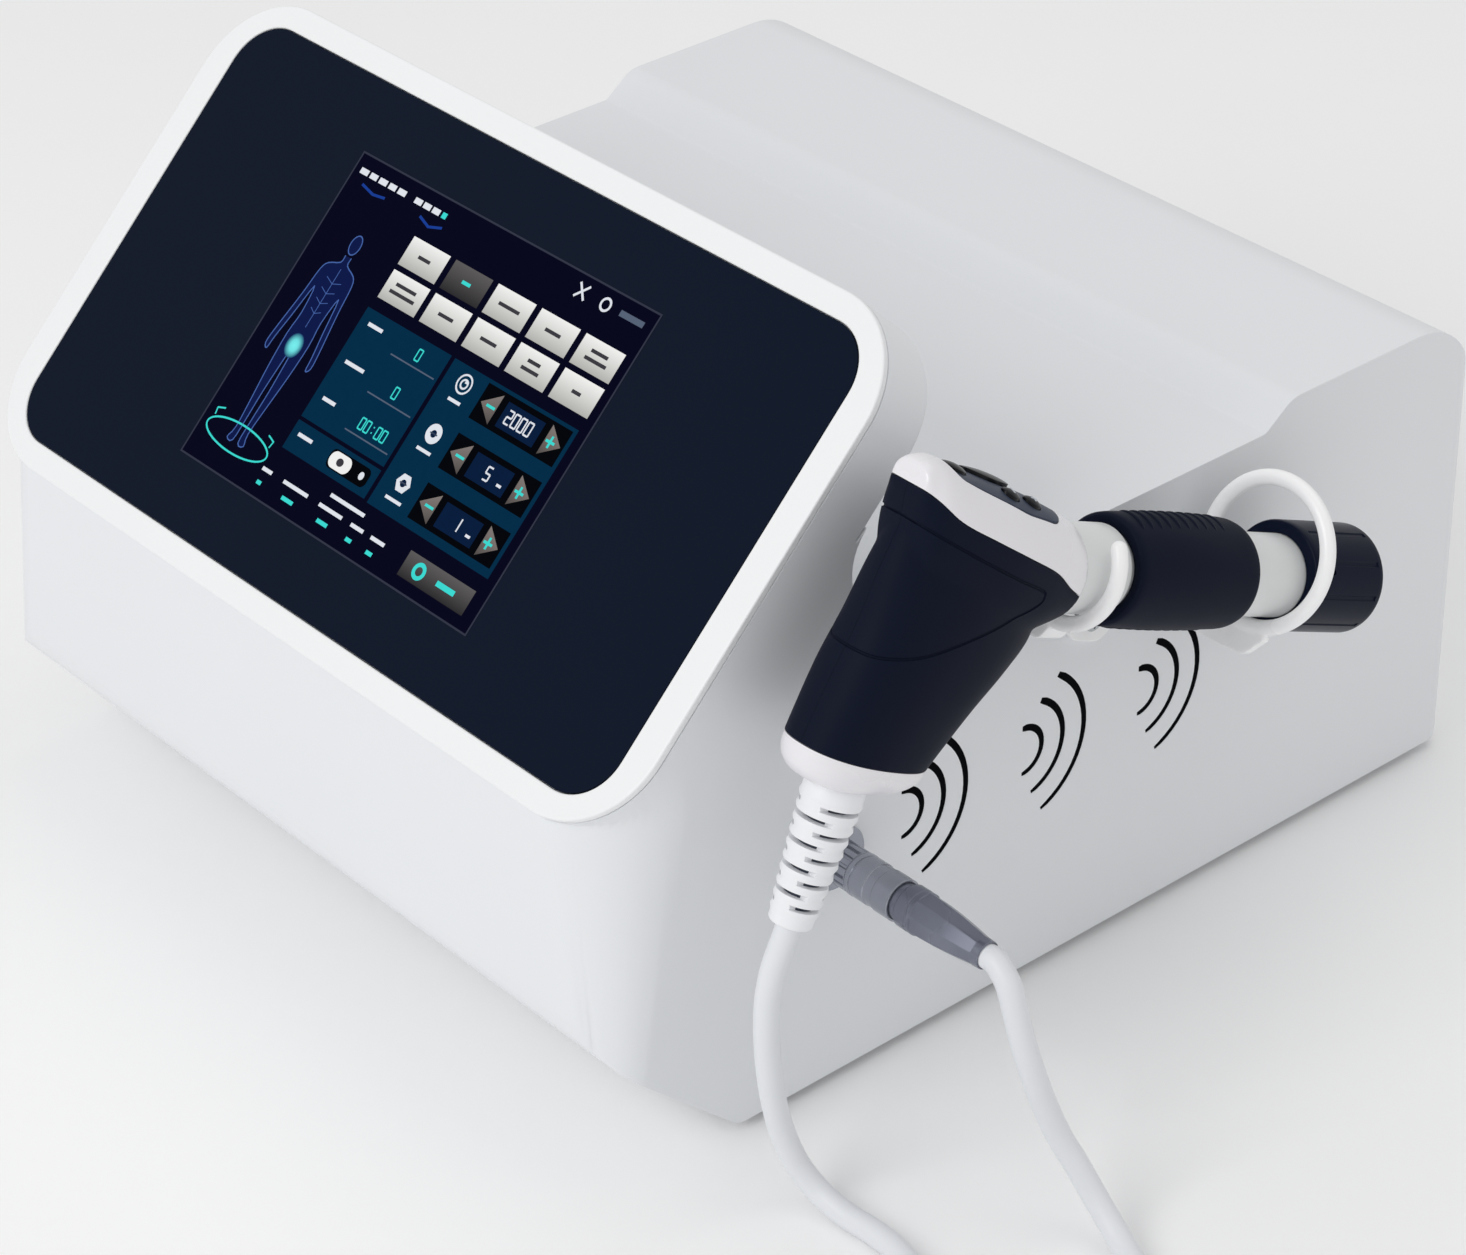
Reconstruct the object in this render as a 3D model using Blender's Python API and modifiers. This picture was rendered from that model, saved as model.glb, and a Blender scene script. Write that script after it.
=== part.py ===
"""Portable shock-wave therapy unit: a table-top console with a tilted touch screen and a pistol handpiece.

Metres, +Z up, -Y is the front (the side that the screen faces), +X is the side that holds the handpiece.
The world's origin is at the middle of the base of the object's box, where its feet stand.  Everything is
placed from UNIT, an empty at the middle of the console's width, on the underside of its casing.
"""
import math

import bmesh
import bpy
from mathutils import Vector

# Driving dimensions of the console, metres
GAP = 0.0003                    # between pieces that touch
WALL = 0.003                    # moulded wall
HALF_WIDTH = 0.179
REAR_Y = 0.201
FRONT_Y = -0.206
FOOT_HEIGHT = 0.004
DECK_Z = 0.173                  # low middle deck
TOP_Z = 0.1823                  # raised rear deck
STEP_Y = 0.090                  # where the riser between the decks starts
VALLEY_RADIUS = 0.022           # fillet between the screen pod's back and the deck
CORNERS = ((0.0055, -0.010), (0.036, 0.135), (0.036, 0.300))    # radius of the front corners at a height

# The tilted screen pod
TILT = math.radians(45.2)
POD_CENTRE = Vector((0, -0.1403, 0.2049))
POD_HEIGHT = 0.193
POD_DEPTH = 0.028
POD_RADIUS = 0.035
BEZEL = 0.003
GLASS_WIDTH = 0.332
GLASS_HEIGHT = 0.1732
GLASS_RADIUS = 0.019

# The handpiece, in its own frame: x across, s along the barrel to the rear, t up
BARREL_REACH = 0.036            # barrel axis to the right wall
BARREL_START = Vector((HALF_WIDTH + BARREL_REACH, -0.0498, 0.1937))
BARREL_PITCH = math.radians(24)
NECK_RADIUS = 0.015
TUBE_RADIUS = 0.0143
SLEEVE = (0.0242, 0.0875)
END_CAP = (0.1166, 0.1549)
END_CAP_RADIUS = 0.019
RING_S = 0.1095
RING_RADIUS = 0.0255
ROD_RADIUS = 0.0028
HOOK_S = 0.011
HOOK_RADIUS = NECK_RADIUS + GAP + ROD_RADIUS + 0.0015
RELIEF = (-0.0665, -0.0737, -0.1235)    # s, top t, bottom t
CORD_RADIUS = 0.00435

# The handpiece's socket in the right wall
SOCKET_Y = -0.110
SOCKET_Z = 0.090

# Arc-shaped vents in the right wall
VENT_CENTRE = (-0.024, 0.0924)
VENT_PITCH = 0.0557
VENT_ARCS = ((0.0093, 90, -90), (0.0193, 64, -76), (0.0295, 56, -71))
VENT_STROKE = (0.0028, 0.0021)          # at the upper and at the lower end

# The object's box in the console's own frame, without the cord, decides where the origin lies
REACH_X = HALF_WIDTH + BARREL_REACH + RING_RADIUS + ROD_RADIUS
REACH_Y = POD_CENTRE.y - POD_HEIGHT / 2 * math.cos(TILT)
UNIT_PLACE = Vector(((HALF_WIDTH - REACH_X) / 2, -(REAR_Y + REACH_Y) / 2, FOOT_HEIGHT))

COLOURS = {
    "casing": ((0.80, 0.80, 0.81), 0.45, 0.0),
    "bezel": ((0.88, 0.88, 0.88), 0.35, 0.0),
    "glass": ((0.007, 0.012, 0.025), 0.08, 0.0),
    "navy_grip": ((0.008, 0.013, 0.030), 0.55, 0.0),
    "light_cap": ((0.79, 0.78, 0.80), 0.35, 0.0),
    "slate": ((0.042, 0.057, 0.097), 0.40, 0.0),
    "connector": ((0.26, 0.27, 0.33), 0.35, 0.8),
    "cord": ((0.69, 0.70, 0.72), 0.50, 0.0),
    "steel": ((0.58, 0.60, 0.60), 0.30, 1.0),
    "rubber": ((0.020, 0.020, 0.022), 0.70, 0.0),
    "board": ((0.02, 0.16, 0.07), 0.50, 0.0),
    "black": ((0.025, 0.025, 0.030), 0.45, 0.0),
    "copper": ((0.75, 0.33, 0.16), 0.35, 1.0),
}


# ---------------------------------------------------------------- tools

def clear_scene():
    for item in list(bpy.data.objects):
        bpy.data.objects.remove(item, do_unlink=True)


def collection(name):
    found = bpy.data.collections.new(name)
    bpy.context.scene.collection.children.link(found)
    return found


def material(name):
    found = bpy.data.materials.get(name)
    if found is None:
        colour, roughness, metallic = COLOURS[name]
        found = bpy.data.materials.new(name)
        found.use_nodes = True
        shader = found.node_tree.nodes["Principled BSDF"]
        shader.inputs["Base Color"].default_value = (*colour, 1)
        shader.inputs["Roughness"].default_value = roughness
        shader.inputs["Metallic"].default_value = metallic
        found.diffuse_color = (*colour, 1)
    return found


def place(item, parent, location=(0, 0, 0), rotation=(0, 0, 0)):
    item.parent = parent
    item.location = location
    item.rotation_euler = rotation
    return item


def empty(name, parent, location=(0, 0, 0), rotation=(0, 0, 0)):
    item = bpy.data.objects.new(name, None)
    PARTS.objects.link(item)
    return place(item, parent, location, rotation)


def finished(name, mesh, paint):
    """Object of a finished mesh, outward faces, its own material and smooth round faces."""
    work = bmesh.new()
    work.from_mesh(mesh)
    bmesh.ops.remove_doubles(work, verts=work.verts, dist=0.00001)
    bmesh.ops.recalc_face_normals(work, faces=work.faces)
    work.to_mesh(mesh)
    work.free()
    mesh.shade_smooth()
    mesh.set_sharp_from_angle(angle=math.radians(35))
    item = bpy.data.objects.new(name, mesh)
    if paint:
        mesh.materials.clear()
        mesh.materials.append(material(paint))
    PARTS.objects.link(item)
    return item


def from_curve(name, curve, paint):
    """A curve can take no Boolean, so its evaluated mesh becomes the object."""
    drawn = bpy.data.objects.new(name + "_curve", curve)
    PARTS.objects.link(drawn)
    mesh = bpy.data.meshes.new_from_object(drawn.evaluated_get(bpy.context.evaluated_depsgraph_get()))
    bpy.data.objects.remove(drawn, do_unlink=True)
    return finished(name, mesh, paint)


def rounded(corners, steps=5):
    """Closed outline through (a, b, radius) corners, each turned into an arc of its radius."""
    outline = []
    for i, (a, b, radius) in enumerate(corners):
        here = Vector((a, b))
        if not radius:
            outline.append(here)
            continue
        back = (Vector(corners[i - 1][:2]) - here).normalized()
        ahead = (Vector(corners[(i + 1) % len(corners)][:2]) - here).normalized()
        half = back.angle(ahead) / 2
        centre = here + (back + ahead).normalized() * radius / math.sin(half)
        start = here + back * radius / math.tan(half) - centre
        end = here + ahead * radius / math.tan(half) - centre
        turn = math.atan2(start.x * end.y - start.y * end.x, start.dot(end))
        first = math.atan2(start.y, start.x)
        for k in range(steps + 1):
            angle = first + turn * k / steps
            outline.append(centre + radius * Vector((math.cos(angle), math.sin(angle))))
    return outline


def rectangle(width, height, radius=0.0, centre=(0, 0), steps=5):
    a, b = centre
    return rounded([(a + i * width / 2, b + j * height / 2, radius)
                    for i, j in ((-1, -1), (1, -1), (1, 1), (-1, 1))], steps)


def inset(outline, distance):
    """The outline moved inwards by distance; the outline runs anticlockwise."""
    moved = []
    for i, here in enumerate(outline):
        back = (here - outline[i - 1]).normalized()
        ahead = (outline[(i + 1) % len(outline)] - here).normalized()
        inward = Vector((-back.y - ahead.y, back.x + ahead.x))
        moved.append(here + inward * distance / (1 + back.dot(ahead)))
    return moved


def slab(name, outlines, thickness, paint=None):
    """Flat piece of the outlines (the first one filled, the others holes), thick along local Z."""
    curve = bpy.data.curves.new(name, "CURVE")
    curve.dimensions = "2D"
    curve.fill_mode = "BOTH"
    curve.extrude = thickness / 2
    for outline in outlines:
        spline = curve.splines.new("POLY")
        spline.points.add(len(outline) - 1)
        for point, (x, y) in zip(spline.points, outline):
            point.co = (x, y, 0, 1)
        spline.use_cyclic_u = True
    return from_curve(name, curve, paint)


def tube(name, points, radius, paint=None, resolution=2):
    curve = bpy.data.curves.new(name, "CURVE")
    curve.dimensions = "3D"
    curve.bevel_depth = radius
    curve.bevel_resolution = resolution
    curve.use_fill_caps = True
    spline = curve.splines.new("POLY")
    spline.points.add(len(points) - 1)
    for point, spot in zip(spline.points, points):
        point.co = (*spot, 1)
    return from_curve(name, curve, paint)


def box(name, size, paint=None, bevel_width=0.0):
    mesh = bpy.data.meshes.new(name)
    work = bmesh.new()
    bmesh.ops.create_cube(work, size=1)
    bmesh.ops.scale(work, vec=size, verts=work.verts)
    work.to_mesh(mesh)
    work.free()
    item = finished(name, mesh, paint)
    if bevel_width:
        bevel(item, bevel_width)
    return item


def cylinder(name, radius, depth, paint=None, sides=24, top_radius=None):
    mesh = bpy.data.meshes.new(name)
    work = bmesh.new()
    bmesh.ops.create_cone(work, cap_ends=True, segments=sides, radius1=radius,
                          radius2=radius if top_radius is None else top_radius, depth=depth)
    work.to_mesh(mesh)
    work.free()
    return finished(name, mesh, paint)


def turned(name, profile, paint=None, steps=24, closed=False):
    """Turned piece about local Z: profile is (radius, z), top to bottom; closed for a piece with a bore."""
    mesh = bpy.data.meshes.new(name)
    edges = [(i, i + 1) for i in range(len(profile) - 1)]
    if closed:
        edges.append((len(profile) - 1, 0))
    mesh.from_pydata([(radius, 0, z) for radius, z in profile], edges, [])
    item = bpy.data.objects.new(name, mesh)
    PARTS.objects.link(item)
    if paint:
        mesh.materials.append(material(paint))
    screw = item.modifiers.new("turn", "SCREW")
    screw.axis = "Z"
    screw.steps = steps
    screw.render_steps = steps
    screw.use_merge_vertices = True
    screw.merge_threshold = 0.00001
    return item


def loft(name, rings, paint=None):
    """Closed skin over rings of equally many points, with a flat face on each end ring."""
    mesh = bpy.data.meshes.new(name)
    work = bmesh.new()
    layers = [[work.verts.new(point) for point in ring] for ring in rings]
    count = len(layers[0])
    for lower, upper in zip(layers, layers[1:]):
        for i in range(count):
            j = (i + 1) % count
            work.faces.new((lower[i], lower[j], upper[j], upper[i]))
    work.faces.new(list(reversed(layers[0])))
    work.faces.new(layers[-1])
    work.to_mesh(mesh)
    work.free()
    return finished(name, mesh, paint)


def bevel(item, width, segments=2):
    modifier = item.modifiers.new("round", "BEVEL")
    modifier.width = width
    modifier.segments = segments
    modifier.limit_method = "ANGLE"
    modifier.angle_limit = math.radians(40)


def guide(item):
    """Mark an operand of a Boolean: it is no piece of the object."""
    item.hide_render = True
    item.display_type = "WIRE"
    PARTS.objects.unlink(item)
    CUTTERS.objects.link(item)
    return item


def boolean(item, operand, operation="DIFFERENCE"):
    modifier = item.modifiers.new(operation.lower(), "BOOLEAN")
    modifier.operation = operation
    modifier.solver = "EXACT"
    modifier.object = operand


def cut(item, operand):
    if operand.name not in CUTTERS.objects:
        guide(operand)
    boolean(item, operand)


def join(item, operand):
    guide(operand)
    boolean(item, operand, "UNION")


def resolved(name, item, paint):
    """New object with the modifiers of item applied, in item's place."""
    bpy.context.view_layer.update()
    mesh = bpy.data.meshes.new_from_object(item.evaluated_get(bpy.context.evaluated_depsgraph_get()))
    made = finished(name, mesh, paint)
    return place(made, item.parent, item.location, item.rotation_euler)


# ---------------------------------------------------------------- frames

def pod_point(v, depth):
    """Point (y, z) at v up the screen and depth behind its face."""
    up = Vector((math.cos(TILT), math.sin(TILT)))
    inward = Vector((math.sin(TILT), -math.cos(TILT)))
    return Vector((POD_CENTRE.y, POD_CENTRE.z)) + v * up + depth * inward


ALONG_X = (math.radians(90), 0, math.radians(90))       # an outline in (y, z), thick along X
TURN_TO_X = (0, math.radians(90), 0)                    # a turned piece along +X
TURN_TO_S = (math.radians(-90), 0, 0)                   # a turned piece along the barrel


# ---------------------------------------------------------------- console

def lower_body_outline():
    """Side profile of the console without the pod's slab, anticlockwise in (y, z)."""
    front = pod_point(-POD_HEIGHT / 2, BEZEL + 0.001)
    ledge_out = pod_point(-0.050, BEZEL + 0.001)
    ledge_in = pod_point(-0.050, POD_DEPTH - BEZEL)
    valley = Vector((-0.080, DECK_Z + VALLEY_RADIUS))
    fillet = [valley + VALLEY_RADIUS * Vector((math.cos(a), math.sin(a)))
              for a in (TILT + math.radians(90) + k * (math.pi - TILT) / 7 for k in range(8))]
    edge = [(*point, 0) for point in [front, ledge_out, ledge_in] + fillet]
    clockwise = rounded(edge + [(STEP_Y, DECK_Z, 0), (STEP_Y + 0.013, TOP_Z, 0.012),
                                (REAR_Y - 0.004, TOP_Z, 0.030), (REAR_Y, 0, 0.008),
                                (-0.153, 0, 0.008), (FRONT_Y, 0.0495, 0.022)])
    return list(reversed(clockwise))


def vent_arc(radius, first, last):
    """Outline (y, z) of one vent slot: a curved stroke that narrows downwards, with round ends."""
    steps = 8
    outer = []
    inner = []
    for k in range(steps + 1):
        share = k / steps
        angle = math.radians(first + (last - first) * share)
        half = (VENT_STROKE[0] + (VENT_STROKE[1] - VENT_STROKE[0]) * share) / 2
        ray = Vector((math.cos(angle), math.sin(angle)))
        outer.append((radius + half) * ray)
        inner.append((radius - half) * ray)
    return outer + list(reversed(inner))


def plan_form(name, distance=0.0):
    """Upright form of the plan, inset by distance: its front corners open out from the base up to the pod."""
    side = HALF_WIDTH + 0.0001
    rings = []
    for radius, height in CORNERS:
        plan = rounded([(-side, FRONT_Y, radius), (side, FRONT_Y, radius), (side, REAR_Y, 0.010),
                        (-side, REAR_Y, 0.010)])
        rings.append([(x, y, height) for x, y in inset(plan, distance)])
    return guide(place(loft(name, rings), UNIT))


def main_casing():
    """The moulded shell: lower body and pod slab, hollow, open below, behind and where the screen sits."""
    outline = lower_body_outline()
    casing = place(slab("main_casing", [outline], 2 * HALF_WIDTH, "casing"), UNIT, rotation=ALONG_X)
    bevel(casing, 0.0022)
    boolean(casing, plan_form("plan"), "INTERSECT")
    pod = place(slab("pod", [rectangle(2 * HALF_WIDTH, POD_HEIGHT, POD_RADIUS)], POD_DEPTH - BEZEL - GAP),
                SCREEN, (0, 0, -(POD_DEPTH + BEZEL + GAP) / 2))
    bevel(pod, 0.0022)
    join(casing, pod)

    hollow = place(slab("hollow", [inset(outline, WALL)], 2 * (HALF_WIDTH - WALL)), UNIT, rotation=ALONG_X)
    boolean(hollow, plan_form("inner_plan", WALL), "INTERSECT")
    cut(casing, hollow)
    depth = POD_DEPTH - WALL
    face = place(slab("face", [rectangle(GLASS_WIDTH - 0.007, GLASS_HEIGHT - 0.007, 0.016)], depth),
                 SCREEN, (0, 0, -depth / 2))
    cut(casing, face)
    throat = place(box("throat", (GLASS_WIDTH - 0.010, 0.092, 0.040)), SCREEN, (0, -0.036, -0.040))
    cut(casing, throat)
    below = place(box("below", (2 * (HALF_WIDTH - WALL), 0.341, 0.012)), UNIT, (0, 0.0235, 0))
    cut(casing, below)
    behind = place(box("behind", (0.300, 0.020, 0.110)), UNIT, (0, REAR_Y - 0.004, 0.075))
    cut(casing, behind)
    for group in (-1, 0, 1):
        for radius, first, last in VENT_ARCS:
            y = VENT_CENTRE[0] + group * VENT_PITCH
            arc = place(slab("vent", [vent_arc(radius, first, last)], 0.010), UNIT,
                        (HALF_WIDTH, y, VENT_CENTRE[1]), ALONG_X)
            cut(casing, arc)
    hole = place(cylinder("socket_hole", 0.0088, 0.012), UNIT, (HALF_WIDTH, SOCKET_Y, SOCKET_Z), TURN_TO_X)
    cut(casing, hole)
    return casing


def base():
    """Base plate inside the casing's lower edge, and four feet under it."""
    plate = place(box("base_plate", (2 * (HALF_WIDTH - WALL - GAP), 0.340, 0.003), "casing"),
                  UNIT, (0, 0.0235, 0.0015))
    bevel(plate, 0.0005, 1)
    for side, x in (("left", -0.145), ("right", 0.145)):
        for end, y in (("front", -0.118), ("rear", 0.165)):
            height = FOOT_HEIGHT - GAP
            place(turned(f"foot_{side}_{end}", [(0, 0), (0.0115, 0), (0.0100, -height), (0, -height)],
                         "rubber", 20), UNIT, (x, y, -GAP))


def screen():
    """Bezel, touch glass and display in the pod's frame: X across, Y up the screen, Z out of it."""
    bezel = slab("screen_bezel", [rectangle(2 * HALF_WIDTH, POD_HEIGHT, POD_RADIUS, steps=8),
                                  rectangle(GLASS_WIDTH + 2 * GAP, GLASS_HEIGHT + 2 * GAP, GLASS_RADIUS)],
                 BEZEL, "bezel")
    place(bezel, SCREEN, (0, 0, -BEZEL / 2))
    place(slab("touch_glass", [rectangle(GLASS_WIDTH, GLASS_HEIGHT, GLASS_RADIUS)], BEZEL - GAP, "glass"),
          SCREEN, (0, 0, -BEZEL / 2 - GAP / 2))
    place(box("display_module", (0.183, 0.141, 0.006), "black"), SCREEN, (0, 0, -0.0068))
    place(box("main_board", (0.150, 0.100, 0.0016), "board"), SCREEN, (0, 0, -0.0160))


def electronics():
    """Power supply, coil driver, its two reservoir capacitors, fan and speaker inside the casing."""
    place(box("power_supply", (0.110, 0.170, 0.040), "steel", 0.001), UNIT, (-0.100, 0.030, 0.0240))
    place(box("driver_board", (0.120, 0.150, 0.0016), "board"), UNIT, (0.040, 0.010, 0.0150))
    for name, x in (("capacitor_left", 0.010), ("capacitor_right", 0.055)):
        place(cylinder(name, 0.0175, 0.055, "black", 16), UNIT, (x, 0.050, 0.0438))
    frame = slab("fan_frame", [rectangle(0.060, 0.060, 0.004), ring_outline(0.0275, 24)], 0.015, "black")
    place(frame, UNIT, (0.085, 0.183, 0.080), (math.radians(90), 0, 0))
    rotor = cylinder("fan_rotor", 0.011, 0.010, "black", 16)
    for k in range(7):
        angle = 2 * math.pi * k / 7
        blade = place(box("blade", (0.0160, 0.0020, 0.008)), rotor,
                      (0.0175 * math.cos(angle), 0.0175 * math.sin(angle), 0), (0, 0, angle))
        join(rotor, blade)
    place(rotor, UNIT, (0.085, 0.183, 0.080), (math.radians(90), 0, 0))
    place(turned("speaker", [(0, 0.010), (0.0255, 0.010), (0.0255, 0.007), (0.012, 0), (0.012, -0.006),
                             (0, -0.006)], "black", 20), UNIT, (0.1655, -0.024, 0.0924), TURN_TO_X)


def ring_outline(radius, count, centre=(0, 0)):
    return [Vector((centre[0] + radius * math.cos(a), centre[1] + radius * math.sin(a)))
            for a in (2 * math.pi * k / count for k in range(count))]


def rear():
    """Rear panel with its vents, the mains inlet, the rocker switch and the fuse holder."""
    vents = [rectangle(0.004, 0.044, 0.0018, (-0.085 + 0.008 * k, 0.005), 2) for k in range(-3, 4)]
    facing_rear = (math.radians(90), 0, math.radians(180))
    panel = place(box("rear_panel", (0.300 - 2 * GAP, 0.110 - 2 * GAP, WALL), "casing"), UNIT,
                  (0, 0.1955, 0.075), facing_rear)
    cut(panel, place(slab("panel_vents", vents, 0.010), UNIT, (0, 0.1955, 0.075), facing_rear))
    for name, size, x, z in (("inlet_hole", (0.0280, 0.020, 0.0205), -0.100, 0.052),
                             ("switch_hole", (0.0200, 0.020, 0.0135), -0.100, 0.084),
                             ("fuse_hole", (0.0125, 0.020, 0.0125), -0.060, 0.052)):
        cut(panel, place(box(name, size), UNIT, (x, 0.1955, z)))

    inlet = box("inlet_socket", (0.0274, 0.024, 0.0199), "black")
    place(inlet, UNIT, (-0.100, 0.1875, 0.052))
    cut(inlet, place(box("inlet_recess", (0.0220, 0.016, 0.0145)), UNIT, (-0.100, 0.1930, 0.052)))
    frame = box("switch_frame", (0.0194, 0.018, 0.0129), "black")
    place(frame, UNIT, (-0.100, 0.1905, 0.084))
    cut(frame, place(box("switch_recess", (0.0160, 0.014, 0.0100)), UNIT, (-0.100, 0.1940, 0.084)))
    rocker = slab("power_switch", [rounded([(-0.0068, 0.0005, 0.0006), (0.0068, 0.0005, 0.0006),
                                            (0.0064, 0.0048, 0.0006), (0, 0.0036, 0.006),
                                            (-0.0064, 0.0048, 0.0006)], 3)], 0.0088, "rubber")
    place(rocker, UNIT, (-0.100, 0.1928, 0.084), (0, 0, math.radians(-8)))
    place(turned("fuse_holder", [(0, 0.0035), (0.0052, 0.0035), (0.0058, 0.0028), (0.0058, -0.020),
                                 (0, -0.020)], "black", 20), UNIT, (-0.060, 0.1955, 0.052),
          (math.radians(-90), 0, 0))


def socket():
    """The round socket in the right wall, for the handpiece's plug."""
    place(turned("side_socket", [(0.0120, 0.0022), (0.0120, GAP), (0.0084, GAP), (0.0084, -0.012),
                                 (0.0056, -0.012), (0.0056, 0.0022)], "connector", 24, True),
          UNIT, (HALF_WIDTH, SOCKET_Y, SOCKET_Z), TURN_TO_X)


# ---------------------------------------------------------------- holder

def holder():
    """Wall plate, ring and hook that carry the handpiece; s and t as in the handpiece's frame."""
    wall = -BARREL_REACH + GAP
    plate = slab("holder_plate", [rounded([(0.004, -0.0290, 0.003), (0.060, -0.0290, 0.003),
                                           (0.066, -0.0395, 0.0065), (0.0815, -0.0395, 0.0065),
                                           (0.088, -0.0290, 0.003), (0.1215, -0.0290, 0.003),
                                           (0.1215, -0.0060, 0.006), (0.004, -0.0060, 0.006)])],
                 0.003, "light_cap")
    place(plate, HOLDER, (wall + 0.0015, 0, 0), ALONG_X)
    for name, s, t in (("holder_screw_lower", 0.0740, -0.0320), ("holder_screw_front", 0.0280, -0.0150),
                       ("holder_screw_rear", 0.0950, -0.0150)):
        screw = turned(name, [(0, 0.0014), (0.0028, 0.0014), (0.0036, 0), (0, 0)], "steel", 16)
        place(screw, HOLDER, (wall + 0.003 + GAP, s, t), TURN_TO_X)

    foot = wall + 0.003 + GAP
    lift = RING_RADIUS - ROD_RADIUS - TUBE_RADIUS - GAP
    ring = turned("holder_ring", [(RING_RADIUS + ROD_RADIUS * math.cos(a), -ROD_RADIUS * math.sin(a))
                                  for a in (2 * math.pi * k / 8 for k in range(8))], "light_cap", 32, True)
    place(ring, HOLDER, (0, RING_S, lift), TURN_TO_S)
    web = slab("ring_web", [rounded([(foot, -0.0285, 0.001), (0.0060, -0.0270, 0.004), (0.0130, -0.0180, 0.001),
                                     (0.0, -0.0178, 0.0), (-0.0180, -0.0105, 0.0), (foot, -0.0120, 0.001)], 3)],
               0.0040)
    place(web, HOLDER, (0, RING_S, 0), (math.radians(90), 0, 0))
    join(ring, web)

    drop = HOOK_RADIUS - ROD_RADIUS - NECK_RADIUS - GAP
    arc = [Vector((HOOK_RADIUS * math.cos(a), HOOK_S, drop + HOOK_RADIUS * math.sin(a)))
           for a in (math.radians(-90 + 126 * k / 14) for k in range(15))]
    arm = [Vector((foot + 0.001, HOOK_S, arc[0].z)), Vector((-0.010, HOOK_S, arc[0].z))]
    hook = place(tube("holder_hook", arm + arc, ROD_RADIUS, "light_cap"), HOLDER)
    low = arc[0].z
    hook_web = slab("hook_web", [rounded([(foot, low - 0.0080, 0.001), (-0.0020, low - 0.0080, 0.003),
                                          (0.0020, low - 0.0005, 0.0), (foot, low, 0.0)], 3)], 0.0120)
    place(hook_web, HOLDER, (0, HOOK_S + 0.004, 0), (math.radians(90), 0, 0))
    join(hook, hook_web)


# ---------------------------------------------------------------- handpiece

def section(front, rear, half_width, power, trim=0.0, count=28):
    """Ring of a super-ellipse whose long axis runs from front to rear, both (s, t)."""
    middle = (Vector(front) + Vector(rear)) / 2
    axis = (Vector(front) - Vector(rear)) / 2
    axis *= (axis.length - trim) / axis.length
    ring = []
    for k in range(count):
        angle = 2 * math.pi * k / count
        c, d = math.cos(angle), math.sin(angle)
        along = math.copysign(abs(c) ** (2 / power), c)
        across = math.copysign(abs(d) ** (2 / power), d) * (half_width - trim)
        ring.append((across, middle.x + along * axis.x, middle.y + along * axis.y))
    return ring


# front (s, t), rear (s, t), half width: sections up the handle, the last one inside the head
HANDLE = (((-0.0890, -0.0610), (-0.0360, -0.0655), 0.0180),
          ((-0.0850, -0.0380), (-0.0250, -0.0460), 0.0195),
          ((-0.0812, -0.0200), (-0.0140, -0.0320), 0.0197),
          ((-0.0793, -0.0020), (-0.0060, -0.0200), 0.0194),
          ((-0.0764, 0.0140), (-0.0080, -0.0060), 0.0172))
# s, lower t, upper t, half width, power: sections along the head, nose to barrel
HEAD = ((-0.0800, 0.0226, 0.0330, 0.0076, 2.6), (-0.0774, 0.0100, 0.0346, 0.0110, 2.4),
        (-0.0700, -0.0060, 0.0346, 0.0142, 2.4), (-0.0560, -0.0180, 0.0306, 0.0177, 2.6),
        (-0.0380, -0.0220, 0.0262, 0.0195, 2.8), (-0.0200, -0.0212, 0.0224, 0.0190, 2.6),
        (-0.0080, -0.0188, 0.0195, 0.0176, 2.3), (0.0000, -0.0166, 0.0166, 0.0166, 2.0))
# lower edge of the cap (s, t), nose to barrel
CAP_EDGE = ((-0.1000, 0.0320), (-0.0790, 0.0260), (-0.0660, 0.0190), (-0.0500, 0.0142), (-0.0330, 0.0094),
            (-0.0180, 0.0048), (-0.0070, -0.0010), (0.0050, -0.0056))


def head_ring(s, low, high, half_width, power):
    return section((s, high), (s, low), half_width, power)


def grip():
    """Two half shells below the cap's edge, the cap above it, all cut from one form."""
    form = place(loft("grip_form", [section(*row, 2.4) for row in HANDLE]), HANDPIECE)
    head = place(loft("grip_head", [head_ring(*row) for row in HEAD]), HANDPIECE)
    join(form, head)
    whole = resolved("grip_whole", form, None)
    guide(form)
    guide(whole)
    pocket = place(loft("grip_pocket", [section(front, rear, half, 2.4, 0.0035)
                                        for front, rear, half in HANDLE[:4]]), HANDPIECE, (0, 0, 0.004))
    guide(pocket)

    below = list(CAP_EDGE) + [(0.005, -0.090), (-0.100, -0.090)]
    for name, side in (("grip_left_half", -1), ("grip_right_half", 1)):
        half = place(slab(name, [below], 0.030, "navy_grip"), HANDPIECE, (side * (0.015 + GAP / 2), 0, 0),
                     ALONG_X)
        boolean(half, whole, "INTERSECT")
        boolean(half, pocket)
    above = [(s, t + GAP) for s, t in CAP_EDGE] + [(0.005, 0.060), (-0.100, 0.060)]
    cap = place(slab("grip_cap", [above], 0.060, "light_cap"), HANDPIECE, (0, 0, 0), ALONG_X)
    boolean(cap, whole, "INTERSECT")
    cut(cap, place(slab("pad_recess", [inset(pad_outline(), -GAP)], 0.020), PAD, (0, 0, 0.0100 - 0.0035)))

    collar = loft("grip_collar", [section((-0.0890, -0.0613), (-0.0360, -0.0658), 0.0178, 2.3),
                                  section((-0.0890, -0.0670), (-0.0385, -0.0700), 0.0172, 2.2),
                                  section((-0.0845, -0.0725), (-0.0450, -0.0732), 0.0140, 2.1),
                                  section((-0.0800, -0.0735), (-0.0500, -0.0735), 0.0115, 2.0)], "light_cap")
    place(collar, HANDPIECE)


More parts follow.
